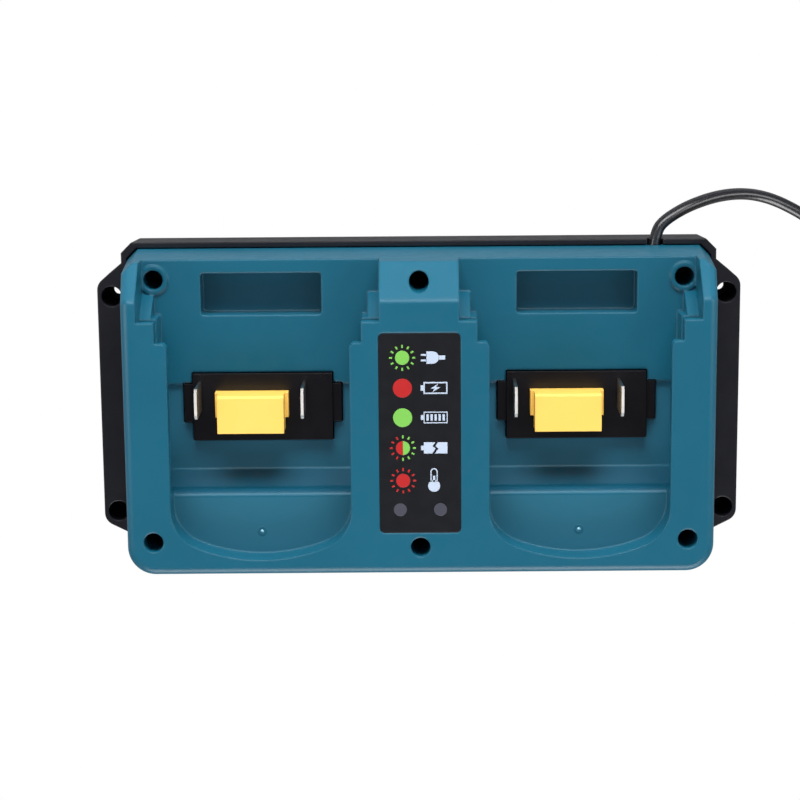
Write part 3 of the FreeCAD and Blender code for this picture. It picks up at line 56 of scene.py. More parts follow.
tilt_out = Vector((0, math.sin(VIEW_TILT), math.cos(VIEW_TILT)))
upward = Vector((0, math.cos(VIEW_TILT), -math.sin(VIEW_TILT)))
rightward = Vector((1, 0, 0))
view_up = upward * math.cos(VIEW_ROLL) + rightward * math.sin(VIEW_ROLL)
view_right = rightward * math.cos(VIEW_ROLL) - upward * math.sin(VIEW_ROLL)
camera_data = bpy.data.cameras.new("camera")
camera_data.lens = LENS
camera_data.sensor_width = SENSOR_WIDTH
camera_data.shift_x = SHIFT_ACROSS
camera_data.shift_y = SHIFT_UP
camera_data.clip_start = NEAREST
camera = bpy.data.objects.new("camera", camera_data)
turn = Matrix((view_right, view_up, tilt_out)).transposed().to_4x4()
camera.matrix_world = Matrix.Translation(tilt_out * VIEW_DISTANCE) @ turn
bpy.context.scene.collection.objects.link(camera)
bpy.context.scene.camera = camera
bpy.context.scene.view_settings.view_transform = "Standard"


# The floor and the sky. A white paper sweep stays white to the camera and lights the object all round; in a
# glossy face it is darker. The sky is brightest low down, so level faces look deeper than sloping ones.

FLOOR_REACH = 3.0
PAPER, PAPER_MIRRORED = "#e7e7e7", "#7c7c7c"
SKY_TINT, WHITE = "#fbfdff", "#ffffff"
SKY_LOW_END, SKY_HIGH_END = 0.15, 0.9
SKY_LOW, SKY_LOW_MIRRORED = 0.74, 0.10
SKY_HIGH, SKY_HIGH_MIRRORED = 0.40, 0.06


def linear(hex_colour):
    """An sRGB hex colour as linear RGBA."""
    parts = [int(hex_colour[place:place + 2], 16) / 255 for place in (1, 3, 5)]
    return [part / 12.92 if part <= 0.04045 else ((part + 0.055) / 1.055) ** 2.4 for part in parts] + [1.0]


def node(tree, kind, sockets=None, **settings):
    """Adds a shader node, sets its settings, and sets or links its inputs."""
    made = tree.nodes.new("ShaderNode" + kind)
    for key, value in settings.items():
        setattr(made, key, value)
    for key, value in (sockets or {}).items():
        if isinstance(value, bpy.types.NodeSocket):
            tree.links.new(value, made.inputs[key])
        else:
            made.inputs[key].default_value = value
    return made


def new_material(name):
    """A node material with only its output and shader, and the object's own coordinates."""
    made = bpy.data.materials.new(name)
    made.use_nodes = True
    tree = made.node_tree
    shader = tree.nodes["Principled BSDF"]
    place = node(tree, "TexCoord").outputs["Object"]
    return made, tree, shader, place


def white_floor():
    mesh = bpy.data.meshes.new("floor")
    corners = [(across * FLOOR_REACH, along * FLOOR_REACH, 0)
               for across, along in ((-1, -1), (1, -1), (1, 1), (-1, 1))]
    mesh.from_pydata(corners, [], [(0, 1, 2, 3)])
    floor = bpy.data.objects.new("floor", mesh)
    bpy.context.scene.collection.objects.link(floor)
    made, tree, shader, place = new_material("white_paper_sweep")
    ray_seen = node(tree, "LightPath").outputs
    paper = node(tree, "Mix", {"Factor": ray_seen["Is Glossy Ray"], "A": linear(PAPER),
                               "B": linear(PAPER_MIRRORED)}, data_type="RGBA")
    tree.links.new(paper.outputs["Result"], shader.inputs["Base Color"])
    shader.inputs["Roughness"].default_value = 0.9
    shader.inputs["Specular IOR Level"].default_value = 0.0
    glow = node(tree, "Emission", {"Color": linear(WHITE), "Strength": 1.0})
    mixed = node(tree, "MixShader", {0: ray_seen["Is Camera Ray"], 1: shader.outputs["BSDF"],
                                     2: glow.outputs["Emission"]})
    tree.links.new(mixed.outputs["Shader"], tree.nodes["Material Output"].inputs["Surface"])
    mesh.materials.append(made)


def studio_sky():
    world = bpy.data.worlds.new("studio")
    world.use_nodes = True
    bpy.context.scene.world = world
    tree = world.node_tree
    tree.nodes.clear()
    direction = node(tree, "TexCoord").outputs["Generated"]
    height = node(tree, "SeparateXYZ", {"Vector": direction}).outputs["Z"]
    ray_seen = node(tree, "LightPath").outputs
    low, high = [node(tree, "MapRange", {"Value": ray_seen["Is Glossy Ray"], "To Min": lit,
                                         "To Max": mirrored}).outputs["Result"]
                 for lit, mirrored in ((SKY_LOW, SKY_LOW_MIRRORED), (SKY_HIGH, SKY_HIGH_MIRRORED))]
    level = node(tree, "MapRange", {"Value": height, "From Min": SKY_LOW_END, "From Max": SKY_HIGH_END,
                                    "To Min": low, "To Max": high}).outputs["Result"]
    sky = node(tree, "Background", {"Color": linear(SKY_TINT), "Strength": level})
    backdrop = node(tree, "Background", {"Color": linear(WHITE), "Strength": 1.0})
    mixed = node(tree, "MixShader", {0: ray_seen["Is Camera Ray"], 1: sky.outputs["Background"],
                                     2: backdrop.outputs["Background"]})
    out = node(tree, "OutputWorld")
    tree.links.new(mixed.outputs["Shader"], out.inputs["Surface"])


white_floor()
studio_sky()


# The lamps. A low softbox behind lights the rear facets, a strip over it only draws glints along edges and
# the lead, a wide box in front lights the floors, and one on each side fills. Sizes are in metres.

def softbox(name, place, width, height, power, lights=True, glints=True):
    """An area light aimed at the object, which may only light it, or only show as a glint in it."""
    light = bpy.data.lights.new(name, "AREA")
    light.shape = "RECTANGLE"
    light.size = width
    light.size_y = height
    light.energy = power
    lamp = bpy.data.objects.new(name, light)
    lamp.visible_diffuse = lights
    lamp.visible_glossy = glints
    lamp.location = place
    lamp.rotation_euler = (-Vector(place)).to_track_quat("-Z", "Y").to_euler()
    bpy.context.scene.collection.objects.link(lamp)


softbox("rear_softbox", (0.0, 1.1, 0.48), width=1.1, height=0.5, power=25.0, glints=False)
softbox("rear_strip", (0.0, 0.72, 1.0), width=1.1, height=0.5, power=7.0, lights=False)
softbox("front_softbox", (0.1, -1.0, 0.5), width=1.2, height=0.8, power=11.5)
softbox("left_softbox", (-1.0, 0.0, 0.8), width=0.4, height=0.9, power=3.0)
softbox("right_softbox", (1.0, 0.1, 0.8), width=0.4, height=0.9, power=3.0)


# The base tray: black ABS, moulded with a spark eroded texture, with the four ears it is fixed by. It looks
# even and soft, with a thin glint on its chamfers. Grain finer than 0.2 mm is drawn that coarse, so it shows.

FLOW_MARK, FLOW_DETAIL = 30 * MM, 3.0
GLOSS_PATCH, GLOSS_DETAIL, GLOSS_CHANGE = 4 * MM, 4.0, 0.03
GRAIN_DETAIL = 3.0
MIDDLE, WHOLE = (0.3, 0.7), (0.0, 1.0)
SOFT_EDGE = 0.25 * MM


def mottle(tree, place, grain, low, high, detail, stretch=(1, 1, 1), kept=MIDDLE):
    """Blotches about as wide as the grain, as values between low and high."""
    scaled = node(tree, "Mapping", {"Vector": place, "Scale": [part / grain for part in stretch]})
    blotches = node(tree, "TexNoise", {"Vector": scaled.outputs["Vector"], "Scale": 1.0, "Detail": detail})
    return node(tree, "MapRange", {"Value": blotches.outputs["Fac"], "From Min": kept[0], "From Max": kept[1],
                                   "To Min": low, "To Max": high}).outputs["Result"]


def moulded_plastic(name, colour, flow_colour, roughness, grain, depth, ior=1.54, edge=SOFT_EDGE):
    """Moulded plastic with faint flow marks, patches of gloss, the mould's grain and softened edges."""
    made, tree, shader, place = new_material(name)
    flow = mottle(tree, place, FLOW_MARK, 0.0, 1.0, FLOW_DETAIL)
    mixed = node(tree, "Mix", {"Factor": flow, "A": linear(colour), "B": linear(flow_colour)}, data_type="RGBA")
    tree.links.new(mixed.outputs["Result"], shader.inputs["Base Color"])
    gloss = mottle(tree, place, GLOSS_PATCH, roughness - GLOSS_CHANGE, roughness + GLOSS_CHANGE, GLOSS_DETAIL)
    tree.links.new(gloss, shader.inputs["Roughness"])
    shader.inputs["IOR"].default_value = ior
    soft = node(tree, "Bevel", {"Radius": edge}, samples=6)
    fine = mottle(tree, place, grain, 0.0, 1.0, GRAIN_DETAIL, kept=WHOLE)
    bump = node(tree, "Bump", {"Height": fine, "Distance": depth, "Strength": 1.0,
                               "Normal": soft.outputs["Normal"]})
    tree.links.new(bump.outputs["Normal"], shader.inputs["Normal"])
    return made


def dress(material, *names):
    """Gives pieces one material in all their slots."""
    for name in names:
        mesh = nodes[name].data
        mesh.materials.clear()
        mesh.materials.append(material)


dress(moulded_plastic("spark_textured_black_abs", "#16161b", "#1a1a20", 0.32, 0.3 * MM, 0.006 * MM, 1.46,
                      edge=0.6 * MM),
      "base_tray")


# The inner parts, all hidden by the cover: boards under green solder mask, finned aluminium, ferrite and
# iron powder cores, enamelled wire, taped and sleeved windings and cans, and plain component cases.

METAL_GRAIN_DETAIL, TINT_PATCH, TINT_DETAIL = 3.0, 3 * MM, 2.0
TINT_SHARE = 0.86
DULLER, SHINIER = 0.07, 0.05
DRAWN_LINES = (1, 1, 0.05)


def bare_metal(name, colour, roughness, grain, depth, stretch=(1, 1, 1)):
    """Bare or plated metal with its drawing or rolling lines, a little darker in patches."""
    made, tree, shader, place = new_material(name)
    tint = mottle(tree, place, TINT_PATCH, 0.0, 1.0, TINT_DETAIL)
    darker = [part * TINT_SHARE for part in linear(colour)[:3]] + [1.0]
    mixed = node(tree, "Mix", {"Factor": tint, "A": linear(colour), "B": darker}, data_type="RGBA")
    tree.links.new(mixed.outputs["Result"], shader.inputs["Base Color"])
    gloss = mottle(tree, place, grain, roughness - SHINIER, roughness + DULLER, METAL_GRAIN_DETAIL, stretch)
    tree.links.new(gloss, shader.inputs["Roughness"])
    shader.inputs["Metallic"].default_value = 1.0
    lines = mottle(tree, place, grain, 0.0, 1.0, METAL_GRAIN_DETAIL, stretch, WHOLE)
    bump = node(tree, "Bump", {"Height": lines, "Distance": depth, "Strength": 1.0})
    tree.links.new(bump.outputs["Normal"], shader.inputs["Normal"])
    return made


dress(moulded_plastic("green_solder_mask", "#1f5a3a", "#24633f", 0.35, 0.5 * MM, 0.01 * MM),
      "main_board", "indicator_board")
dress(bare_metal("extruded_aluminium", "#b9bbbd", 0.38, 0.3 * MM, 0.01 * MM, DRAWN_LINES),
      "primary_heatsink", "secondary_heatsink")
dress(moulded_plastic("black_epoxy_package", "#202024", "#27272b", 0.5, 0.2 * MM, 0.01 * MM),
      "switching_transistor", "output_rectifier", "bridge_rectifier", "control_chips")
dress(moulded_plastic("pressed_ferrite", "#35332f", "#3e3b37", 0.6, 0.3 * MM, 0.02 * MM),
      "choke_core", "transformer_core")
dress(moulded_plastic("coated_iron_powder", "#b8a23a", "#a8922f", 0.45, 0.4 * MM, 0.01 * MM),
      "output_choke_core")
dress(bare_metal("enamelled_copper", "#b06a3c", 0.28, 0.9 * MM, 0.05 * MM),
      "choke_winding", "output_choke_winding")
dress(moulded_plastic("yellow_polyester_tape", "#d9c24a", "#cdb640", 0.3, 0.8 * MM, 0.02 * MM),
      "transformer_winding")
dress(moulded_plastic("shrunk_can_sleeve", "#24345a", "#2a3c66", 0.3, 0.6 * MM, 0.01 * MM),
      "bulk_capacitors", "output_capacitors")
dress(moulded_plastic("epoxy_filled_box", "#3f6f8f", "#45789a", 0.4, 0.4 * MM, 0.01 * MM),
      "mains_filter_capacitor")
dress(moulded_plastic("ceramic_fuse_tube", "#c9c6bc", "#d2cfc6", 0.35, 0.4 * MM, 0.005 * MM), "fuse")
dress(moulded_plastic("red_silicone_insulation", "#8f2a26", "#98302b", 0.5, 0.4 * MM, 0.01 * MM),
      "battery_leads_left", "battery_leads_right")
dress(moulded_plastic("blue_pvc_insulation", "#3a5f9a", "#4168a5", 0.4, 0.4 * MM, 0.01 * MM), "mains_wires")
dress(moulded_plastic("smoked_polycarbonate", "#50515d", "#565763", 0.3, 0.5 * MM, 0.004 * MM, 1.58),
      "light_pipes", "indicator_lamps")


# The screws: blackened steel case screws, dull and almost unseen deep in their wells, and bright zinc plated
# steel ones that hold the boards, the blocks and the clamp inside.

dress(bare_metal("blackened_steel", "#3b3c42", 0.42, 0.2 * MM, 0.01 * MM), "housing_screws")
dress(bare_metal("zinc_plated_steel", "#b4b6ba", 0.35, 0.2 * MM, 0.01 * MM),
      "terminal_screws", "board_screws", "indicator_screws", "clamp_screws")


# The terminal blocks: glass-filled nylon, each pushed up through the floor of its bay, in a flat deep black
# with a faint sheen. A small raised arc stands in each rear corner, left by the mould. Sizes are in mm.

RIDGE_RADIUS, RIDGE_WIDTH, RIDGE_HEIGHT, RIDGE_SUNK = 1.1, 0.28, 0.16, 0.05
RIDGE_NEAR, RIDGE_FAR, RIDGE_BEHIND = 6.4, 7.0, 3.5
RIDGE_STEPS = 12

dress(moulded_plastic("glass_filled_black_nylon", "#100f13", "#151419", 0.32, 0.25 * MM, 0.006 * MM, 1.4),
      "terminal_block_left", "terminal_block_right", "cord_clamp")


def on_root(thing):
    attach(thing, "root")


def add_piece(name, mesh, material, smooth=False):
    """Closes a mesh that was built point by point, and adds it to the charger's one body."""
    bmesh.ops.recalc_face_normals(mesh, faces=mesh.faces)
    data = bpy.data.meshes.new(name)
    mesh.to_mesh(data)
    mesh.free()
    data.polygons.foreach_set("use_smooth", [smooth] * len(data.polygons))
    data.materials.append(material)
    thing = bpy.data.objects.new(name, data)
    bpy.context.scene.collection.objects.link(thing)
    on_root(thing)


def corner_ridge(name, x, y, level):
    """Half a ring, with a flat top and sloping sides."""
    mesh = bmesh.new()
    section = ((-RIDGE_WIDTH / 2, -RIDGE_SUNK), (-RIDGE_WIDTH / 4, RIDGE_HEIGHT),
               (RIDGE_WIDTH / 4, RIDGE_HEIGHT), (RIDGE_WIDTH / 2, -RIDGE_SUNK))
    rings = []
    for step in range(RIDGE_STEPS + 1):
        angle = math.pi * step / RIDGE_STEPS
        rings.append([mesh.verts.new(((x + (RIDGE_RADIUS + out) * math.cos(angle)) * MM,
                                      (y + (RIDGE_RADIUS + out) * math.sin(angle)) * MM,
                                      (level + up) * MM)) for out, up in section])
    for here, there in zip(rings, rings[1:]):
        for place in range(len(section)):
            after = (place + 1) % len(section)
            mesh.faces.new((here[place], here[after], there[after], there[place]))
    mesh.faces.new(reversed(rings[0]))
    mesh.faces.new(rings[-1])
    add_piece(name, mesh, bpy.data.materials["glass_filled_black_nylon"])


for side in ("left", "right"):
    low, high = (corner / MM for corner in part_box(f"terminal_block_{side}"))
    corner_ridge(f"corner_ridge_{side}_near", low.x + RIDGE_NEAR, high.y - RIDGE_BEHIND, high.z)
    corner_ridge(f"corner_ridge_{side}_far", high.x - RIDGE_FAR, high.y - RIDGE_BEHIND, high.z)


# The pack connectors: yellow nylon housings, warm and a little waxy, with gold flashed spring contacts in
# their slots.

dress(moulded_plastic("moulded_yellow_nylon", "#f2c15a", "#f4c662", 0.4, 0.3 * MM, 0.006 * MM, 1.5,
                      edge=0.35 * MM),
      "connector_left", "connector_right")
dress(bare_metal("gold_flashed_contact", "#d8b56a", 0.25, 0.1 * MM, 0.002 * MM),
      "signal_contacts_left", "signal_contacts_right")


# The power blades and plug pins: brass stamped from strip and nickel plated. Their sides mirror the black
# block. Their upward faces, the sheared edges, are drawn pale and matt instead of metal, partly the rough shear and
# partly a painted highlight, so only those look bright from above.

SHEAR_FROM, SHEAR_FULL = 0.5, 0.9
SHEARED_HIGHLIGHT_METALLIC = 0.1

dress(bare_metal("nickel_plated_brass", "#cfccc8", 0.3, 0.12 * MM, 0.001 * MM, DRAWN_LINES),
      "power_blades_left", "power_blades_right", "plug_pins")


def paint_sheared_highlights():
    tree = bpy.data.materials["nickel_plated_brass"].node_tree
    facing = node(tree, "SeparateXYZ", {"Vector": node(tree, "NewGeometry").outputs["Normal"]}).outputs["Z"]
    # Upward faces lose their metal and show the pale base colour: rough shear in part, and in part a painted
    # highlight.
    metallic = node(tree, "MapRange", {"Value": facing, "From Min": SHEAR_FROM, "From Max": SHEAR_FULL,
                                       "To Min": 1.0, "To Max": SHEARED_HIGHLIGHT_METALLIC}).outputs["Result"]
    tree.links.new(metallic, tree.nodes["Principled BSDF"].inputs["Metallic"])


paint_sheared_highlights()


# The top cover: one injection moulded ABS shell, screwed to the tray, in deep teal with a low gloss and
# rounded rims that catch a line of light.

dress(moulded_plastic("injection_moulded_teal_abs", "#11546a", "#13586f", 0.31, 0.45 * MM, 0.0015 * MM, 1.5,
                      edge=0.9 * MM),
      "top_cover")


# The zones of the bays. The front plates and the low floors are painted paler and the ramps between them
# painted darker: painted light and shade, as the light falls into the bays. Each zone has a level, a front and a rear,
# in mm.

BAYS_REACH = 84
FLAT = 0.06
PAINTED_BAY_SHADING = ({"level": 52.0, "within": FLAT, "front": -60, "rear": -23.5, "colour": "#246177"},
             {"level": 42.0, "within": FLAT, "front": -24, "rear": 8.5, "colour": "#27657d"},
             {"level": 47.0, "within": 4.6, "front": -24.5, "rear": -14, "colour": "#0f485e"})


def paint_bay_light_and_shade():
    tree = bpy.data.materials["injection_moulded_teal_abs"].node_tree
    shader = tree.nodes["Principled BSDF"]
    plain = shader.inputs["Base Color"].links[0].from_socket
    place = node(tree, "SeparateXYZ", {"Vector": node(tree, "TexCoord").outputs["Object"]}).outputs
    aside = node(tree, "Math", {0: place["X"]}, operation="ABSOLUTE").outputs["Value"]
    for zone in PAINTED_BAY_SHADING:
        tests = [node(tree, "Math", {0: aside, 1: BAYS_REACH * MM}, operation="LESS_THAN"),
                 node(tree, "Math", {0: place["Y"], 1: zone["rear"] * MM}, operation="LESS_THAN"),
                 node(tree, "Math", {0: place["Y"], 1: zone["front"] * MM}, operation="GREATER_THAN")]
        inside = node(tree, "Math", {0: place["Z"], 1: zone["level"] * MM, 2: zone["within"] * MM},
                      operation="COMPARE").outputs["Value"]
        for test in tests:
            inside = node(tree, "Math", {0: inside, 1: test.outputs["Value"]}, operation="MULTIPLY").outputs["Value"]
        # Mixes in the zone's painted colour: painted light on the plates and floors, painted shade on the ramps.
        mixed = node(tree, "Mix", {"Factor": inside, "A": plain, "B": linear(zone["colour"])}, data_type="RGBA")
        plain = mixed.outputs["Result"]
    tree.links.new(plain, shader.inputs["Base Color"])


paint_bay_light_and_shade()


# The gate marks: a low ring in each front plate, round the place where the plastic was let in, with a torn
# nub in its middle. The nub is drawn in a paler teal, so it shows as a bright dot. Sizes are in mm.

GATE_X, GATE_Y, PLATE_LEVEL = 46.35, -33.7, 52.0
GATE_RING, RING_FOOT, RING_TOP, RING_HEIGHT = 2.3, 0.3, 0.12, 0.1
GATE_NUB, NUB_HEIGHT, NUB_ANGLES = 0.95, 0.3, (0.15, 0.6, 1.1, 1.57)
DISC_LEVEL = 0.02
TURNED_STEPS = 32


def turned(name, outline, x, y, level, material):
    """A round form on a vertical axis, from (radius, height) pairs."""
    mesh = bmesh.new()
    turns = [2 * math.pi * step / TURNED_STEPS for step in range(TURNED_STEPS)]
    rings = [[mesh.verts.new(((x + radius * math.cos(angle)) * MM, (y + radius * math.sin(angle)) * MM,
                              (level + height) * MM)) for angle in turns] for radius, height in outline]
    for inner, outer in zip(rings, rings[1:]):
        for step in range(TURNED_STEPS):
            after = (step + 1) % TURNED_STEPS
            mesh.faces.new((inner[step], outer[step], outer[after], inner[after]))
    mesh.faces.new(reversed(rings[0]))
    add_piece(name, mesh, material, smooth=True)


def gate_marks():
    teal = bpy.data.materials["injection_moulded_teal_abs"]
    pale_teal = moulded_plastic("pale_teal_abs_nub", "#7fb6c8", "#8fc2d2", 0.33, 0.3 * MM, 0.004 * MM)
    dome = [(GATE_NUB / 2 * math.sin(angle), DISC_LEVEL + NUB_HEIGHT * math.cos(angle)) for angle in NUB_ANGLES]
    middle = GATE_RING / 2
    ring = [(middle - RING_FOOT, DISC_LEVEL), (middle - RING_TOP, RING_HEIGHT), (middle + RING_TOP, RING_HEIGHT),
            (middle + RING_FOOT, 0.0)]
    for name, x in (("left", -GATE_X), ("right", GATE_X)):
        turned(f"gate_nub_{name}", dome, x, GATE_Y, PLATE_LEVEL, pale_teal)
        turned(f"gate_mark_{name}", ring, x, GATE_Y, PLATE_LEVEL, teal)


gate_marks()


# The status label: polycarbonate film in near black with a matt face that shows no reflections, stuck in its
# shallow seat. Five rows of screen printed signs and pictures, and two windows for lamps. Sizes are in mm.

INK = 0.03 * MM
SIGN_X, PICTURE_X = -4.9, 0.4
POWER_Y, CHARGING_Y, FULL_Y, FAULTY_Y, HOT_Y = 18.9, 10.1, 1.5, -7.4, -17.0
WINDOW_X, WINDOW_Y, WINDOW_WIDTH = 5.8, -25.6, 3.8
DISC_WIDTH, FLASHING_WIDTH, DISC_POINTS = 5.5, 4.1, 48
RAYS, RAY_INNER, RAY_OUTER, RAY_WIDTH = 12, 2.85, 3.75, 0.52
QUARTER, WHOLE_TURN = math.pi / 2, 2 * math.pi
UPRIGHT = 0.1

dress(moulded_plastic("matt_polycarbonate_film", "#0e0f14", "#111217", 0.4, 0.2 * MM, 0.003 * MM, 1.45),
      "indicator_label")


def disc(x, y, width, start=0.0, end=WHOLE_TURN):
    """A round outline, or the part of it between two angles."""
    whole = end - start >= WHOLE_TURN
    count = DISC_POINTS if whole else DISC_POINTS // 2 + 1
    last = count if whole else count - 1
    angles = [start + (end - start) * place / last for place in range(count)]
    return [(x + width / 2 * math.cos(angle), y + width / 2 * math.sin(angle)) for angle in angles]


def bar(left, low, right, high):
    return [(left, low), (right, low), (right, high), (left, high)]


def hollow_bar(left, low, right, high, line):
    """The four sides of a drawn rectangle."""
    return [bar(left, low, right, low + line), bar(left, high - line, right, high),
            bar(left, low + line, left + line, high - line), bar(right - line, low + line, right, high - line)]


def rays(shown=lambda across: True):
    """The short strokes round a lamp that flashes, all of them or those on one side."""
    made = []
    for angle in [WHOLE_TURN * place / RAYS for place in range(RAYS)]:
        along, across = Vector((math.cos(angle), math.sin(angle))), Vector((-math.sin(angle), math.cos(angle)))
        if shown(along.x):
            made.append([tuple(along * out + across * side * RAY_WIDTH / 2)
                         for out, side in ((RAY_INNER, -1), (RAY_OUTER, -1), (RAY_OUTER, 1), (RAY_INNER, 1))])
    return made


def printed(name, outlines, ink, x, y):
    """Flat printed shapes on the label, from outlines drawn round (x, y)."""
    mesh = bmesh.new()
    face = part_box("indicator_label")[1].z
    for outline in outlines:
        under, over = [[mesh.verts.new(((x + across) * MM, (y + along) * MM, face + rise))
                        for across, along in outline] for rise in (-INK, INK)]
        mesh.faces.new(over)
        mesh.faces.new(reversed(under))
        for place in range(len(outline)):
            after = (place + 1) % len(outline)
            mesh.faces.new((under[place], under[after], over[after], over[place]))
    add_piece(name, mesh, ink)


def screen_ink(colour_name, colour, thick_colour):
    """Opaque screen printing ink, which dries flat and satin."""
    return moulded_plastic(f"screen_printed_{colour_name}_ink", colour, thick_colour, 0.4, 0.3 * MM, 0.002 * MM, 1.5)


green_ink = screen_ink("green", "#70b34a", "#75b84f")
red_ink = screen_ink("red", "#a81819", "#ad1d1d")
white_ink = screen_ink("white", "#aebbcf", "#b6c2d4")
smoked_window = moulded_plastic("smoked_lamp_window", "#3f404b", "#454651", 0.32, 0.3 * MM, 0.002 * MM, 1.58)


# The signs: a plain disc for a lamp that is lit, and a smaller one with rays for a lamp that flashes. The
# faulty sign is half red and half green, with its upright rays in green. The two lamp windows low down are
# of smoked plastic and hold no sign.

flashing_disc = disc(0, 0, FLASHING_WIDTH)
printed("power_sign", [flashing_disc] + rays(), green_ink, SIGN_X, POWER_Y)
printed("charging_sign", [disc(0, 0, DISC_WIDTH)], red_ink, SIGN_X, CHARGING_Y)
printed("full_sign", [disc(0, 0, DISC_WIDTH)], green_ink, SIGN_X, FULL_Y)
printed("faulty_sign_red", [disc(0, 0, FLASHING_WIDTH, QUARTER, 3 * QUARTER)]
        + rays(lambda across: across < -UPRIGHT), red_ink, SIGN_X, FAULTY_Y)
printed("faulty_sign_green", [disc(0, 0, FLASHING_WIDTH, -QUARTER, QUARTER)]
        + rays(lambda across: across > -UPRIGHT), green_ink, SIGN_X, FAULTY_Y)
printed("hot_sign", [flashing_disc] + rays(), red_ink, SIGN_X, HOT_Y)
printed("lamp_windows", [disc(side * WINDOW_X, 0, WINDOW_WIDTH) for side in (-1, 1)], smoked_window, 0, WINDOW_Y)


# The pictures, in white: a mains plug, a battery with a bolt, one with five full cells, one that is cracked
# across, and a thermometer. Each is drawn from its left end, and from the middle of its row.

CASE_LEFT, CASE_RIGHT, CRACKED_RIGHT, POLE_LEFT = 0.7, 7.6, 7.5, -0.1
CASE_HALF, CASE_LINE, POLE_HALF = 1.75, 0.42, 0.8
FULL_CASE_HALF, FULL_CASE_LINE, FULL_POLE_HALF = 1.7, 0.3, 0.7
CELLS, CELL_PITCH, CELL_LEFT, CELL_WIDTH, CELL_HALF = 5, 1.15, 1.5, 0.7, 0.95
CRACKED_HALF, CRACK_GAP = 1.65, 0.75
BOLT = [(5.0, 1.3), (2.7, -0.2), (3.9, -0.2), (3.2, -1.3), (5.6, 0.25), (4.3, 0.25)]
CRACK = [(4.4, CRACKED_HALF), (3.6, 0.5), (4.5, -0.2), (3.5, -CRACKED_HALF)]
PLUG_BACK, PLUG_FRONT, PLUG_HALF, PLUG_NOSE, NOSE_END = 1.6, 3.3, 1.8, 1.9, 75
PRONG_END, PRONG_ASIDE, PRONG_HALF = 1.7, 0.8, 0.28
TAIL_START, TAIL_END, TAIL_HALF = 5.1, 7.0, 0.6
BULB_X, BULB_BELOW, BULB_WIDTH = 3.6, 1.6, 3.5
TUBE_LOW, TUBE_HIGH, TUBE_HALF, TUBE_LINE, MERCURY_HIGH = -0.4, 2.6, 1.05, 0.35, 1.4

nose = [(PLUG_FRONT + PLUG_NOSE * math.cos(math.radians(step)), PLUG_HALF * math.sin(math.radians(step)))
        for step in range(-NOSE_END, NOSE_END + 1, 15)]
shell = ([(PLUG_BACK, -PLUG_HALF), (PLUG_FRONT, -PLUG_HALF)] + nose
         + [(PLUG_FRONT, PLUG_HALF), (PLUG_BACK, PLUG_HALF)])
prongs = [bar(0, side * PRONG_ASIDE - PRONG_HALF, PRONG_END, side * PRONG_ASIDE + PRONG_HALF) for side in (-1, 1)]
printed("plug_picture", [shell, bar(TAIL_START, -TAIL_HALF, TAIL_END, TAIL_HALF)] + prongs, white_ink,
        PICTURE_X, POWER_Y)

printed("charging_picture", hollow_bar(CASE_LEFT, -CASE_HALF, CASE_RIGHT, CASE_HALF, CASE_LINE)
        + [BOLT, bar(POLE_LEFT, -POLE_HALF, CASE_LEFT, POLE_HALF)], white_ink, PICTURE_X, CHARGING_Y)

cell_lefts = [CELL_LEFT + CELL_PITCH * place for place in range(CELLS)]
printed("full_picture", hollow_bar(CASE_LEFT, -FULL_CASE_HALF, CASE_RIGHT, FULL_CASE_HALF, FULL_CASE_LINE)
        + [bar(left, -CELL_HALF, left + CELL_WIDTH, CELL_HALF) for left in cell_lefts]
        + [bar(POLE_LEFT, -FULL_POLE_HALF, CASE_LEFT, FULL_POLE_HALF)], white_ink, PICTURE_X, FULL_Y)

near_half = ([(CASE_LEFT, -CRACKED_HALF)] + [(x - CRACK_GAP / 2, y) for x, y in reversed(CRACK)]
             + [(CASE_LEFT, CRACKED_HALF)])
far_half = [(x + CRACK_GAP / 2, y) for x, y in CRACK] + [(CRACKED_RIGHT, -CRACKED_HALF), (CRACKED_RIGHT, CRACKED_HALF)]
printed("faulty_picture", [near_half, far_half, bar(POLE_LEFT, -FULL_POLE_HALF, CASE_LEFT, FULL_POLE_HALF)],
        white_ink, PICTURE_X, FAULTY_Y)

walls = [bar(side - TUBE_LINE / 2, TUBE_LOW, side + TUBE_LINE / 2, TUBE_HIGH)
         for side in (BULB_X - TUBE_HALF + TUBE_LINE / 2, BULB_X + TUBE_HALF - TUBE_LINE / 2)]
mercury = bar(BULB_X - TUBE_LINE, TUBE_LOW, BULB_X + TUBE_LINE, MERCURY_HIGH)
crown = (disc(BULB_X, TUBE_HIGH, 2 * TUBE_HALF, 0, math.pi)
         + disc(BULB_X, TUBE_HIGH, 2 * (TUBE_HALF - TUBE_LINE), 0, math.pi)[::-1])
printed("hot_picture", [disc(BULB_X, -BULB_BELOW, BULB_WIDTH)] + walls + [mercury, crown], white_ink,
        PICTURE_X, HOT_Y)


# The mains lead: one round flexible lead in black PVC, with an extruded skin that draws a soft line of light.
# It leaves the rear of the tray, bows over and comes down to the table, and the rest is put away in a round
# coil of two layers beside the charger, with a moulded two-pin plug on its end.

LEAD_WIDTH = 3.6 * MM
LEAD_ROUTE_MM = [
    (71.8, 47.4, 15.5), (72.3, 49.75, 15.4), (73.7, 51.95, 15.2), (76.9, 54.35, 14.7), (82.2, 57.1, 13.4),
    (89.9, 59.4, 10.6), (97.3, 60.1, 7.4), (103.8, 59.4, 4.8), (110.0, 57.5, 3.0), (116.3, 54.4, 2.1),
    (122.9, 50.3, 1.82),
]
COIL_X, COIL_Y = 154.2 * MM, 66.6 * MM
COIL_OUTER, COIL_PITCH = 29.3 * MM, 4.06 * MM
COIL_TURNS, COIL_START_ANGLE = 7.917, math.radians(-120)
POINTS_PER_TURN = 12
ROUND_STEPS, LENGTH_STEPS = 6, 6
PLUG_STEPS = ((8.0, -63.0, 0.1), (7.5, -57.0, 0.5), (8.0, -60.0, 0.39))
A_LITTLE = 0.001


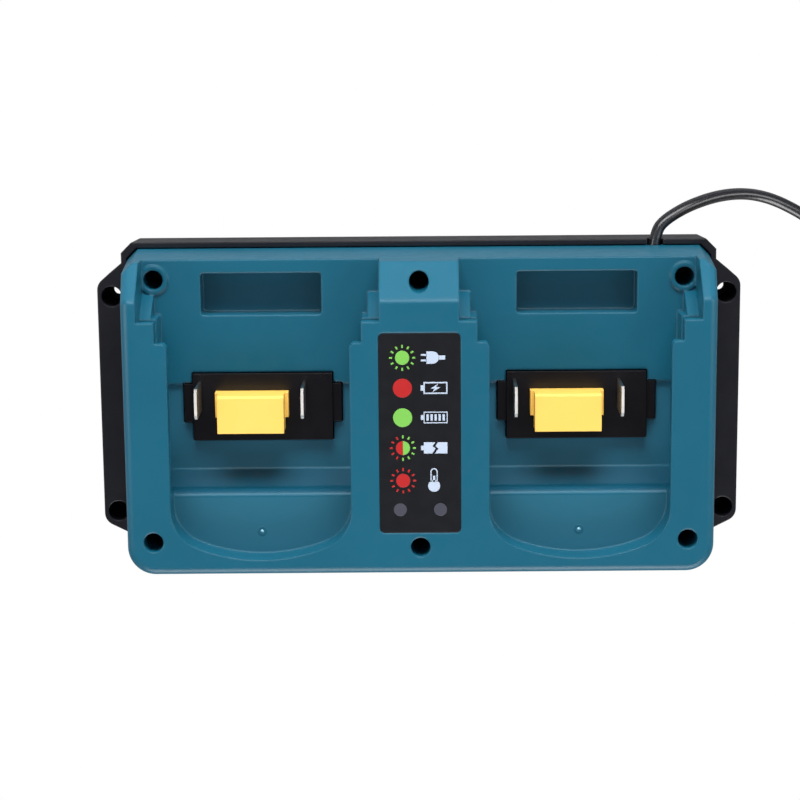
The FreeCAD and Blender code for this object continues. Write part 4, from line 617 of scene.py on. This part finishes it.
def coil_point(turned_by, widened=1.0):
    """The lead's centre in the coil: in on the lower layer, and out again on the upper one."""
    half = COIL_TURNS * math.pi
    radius = (COIL_OUTER - COIL_PITCH * (half - abs(turned_by - half)) / (2 * math.pi)) * widened
    climbed = min(max((turned_by - half) / math.pi + 0.5, 0), 1)
    level = LEAD_WIDTH / 2 + COIL_PITCH * climbed ** 2 * (3 - 2 * climbed)
    angle = COIL_START_ANGLE + turned_by
    return Vector((COIL_X + radius * math.cos(angle), COIL_Y + radius * math.sin(angle), level))


def lead_points():
    """The control points of the whole lead; the coil's are widened, because a curve runs inside its points."""
    whole = COIL_TURNS * 2 * math.pi
    first, last = coil_point(0), coil_point(whole)
    entering = (coil_point(A_LITTLE) - first).normalized()
    leaving = (last - coil_point(whole - A_LITTLE)).normalized()
    points = [Vector(place) * MM for place in LEAD_ROUTE_MM]
    points += [first - entering * (3 * LEAD_WIDTH), first - entering * LEAD_WIDTH]
    steps = round(COIL_TURNS * POINTS_PER_TURN)
    widened = 1 / math.cos(math.pi / POINTS_PER_TURN)
    points += [coil_point(whole * (step + 0.5) / steps, widened) for step in range(steps)]
    points.append(last + leaving * LEAD_WIDTH)
    for run, heading, rise in PLUG_STEPS:
        angle = math.radians(heading)
        points.append(points[-1] + Vector((run * math.cos(angle), run * math.sin(angle), rise)) * MM)
    return points


def lead_skin():
    """Extruded PVC: a satin compound under a glossier skin of its own plasticiser."""
    made = moulded_plastic("extruded_black_pvc_lead", "#121217", "#18191f", 0.31, 0.6 * MM, 0.002 * MM, 1.56)
    skin = made.node_tree.nodes["Principled BSDF"].inputs
    skin["Specular IOR Level"].default_value = 0.8
    skin["Coat Weight"].default_value = 1.0
    skin["Coat Roughness"].default_value = 0.24
    return made


def mains_lead():
    points = lead_points()
    data = bpy.data.curves.new("mains_lead", "CURVE")
    data.dimensions = "3D"
    data.bevel_depth = LEAD_WIDTH / 2
    data.bevel_resolution = ROUND_STEPS
    data.resolution_u = LENGTH_STEPS
    data.use_fill_caps = True
    spline = data.splines.new("NURBS")
    spline.points.add(len(points) - 1)
    for spot, place in zip(spline.points, points):
        spot.co = (*place, 1)
    spline.order_u = 3
    spline.use_endpoint_u = True
    lead = bpy.data.objects.new("mains_lead", data)
    bpy.context.scene.collection.objects.link(lead)
    made = lead_skin()
    data.materials.append(made)
    on_root(lead)
    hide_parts("mains_cord", "mains_cord_coil", "mains_cord_end")
    dress(made, "cord_tail")


mains_lead()
dress(moulded_plastic("moulded_black_pvc_plug", "#17171b", "#1c1d22", 0.32, 0.5 * MM, 0.01 * MM, 1.53), "plug_body")
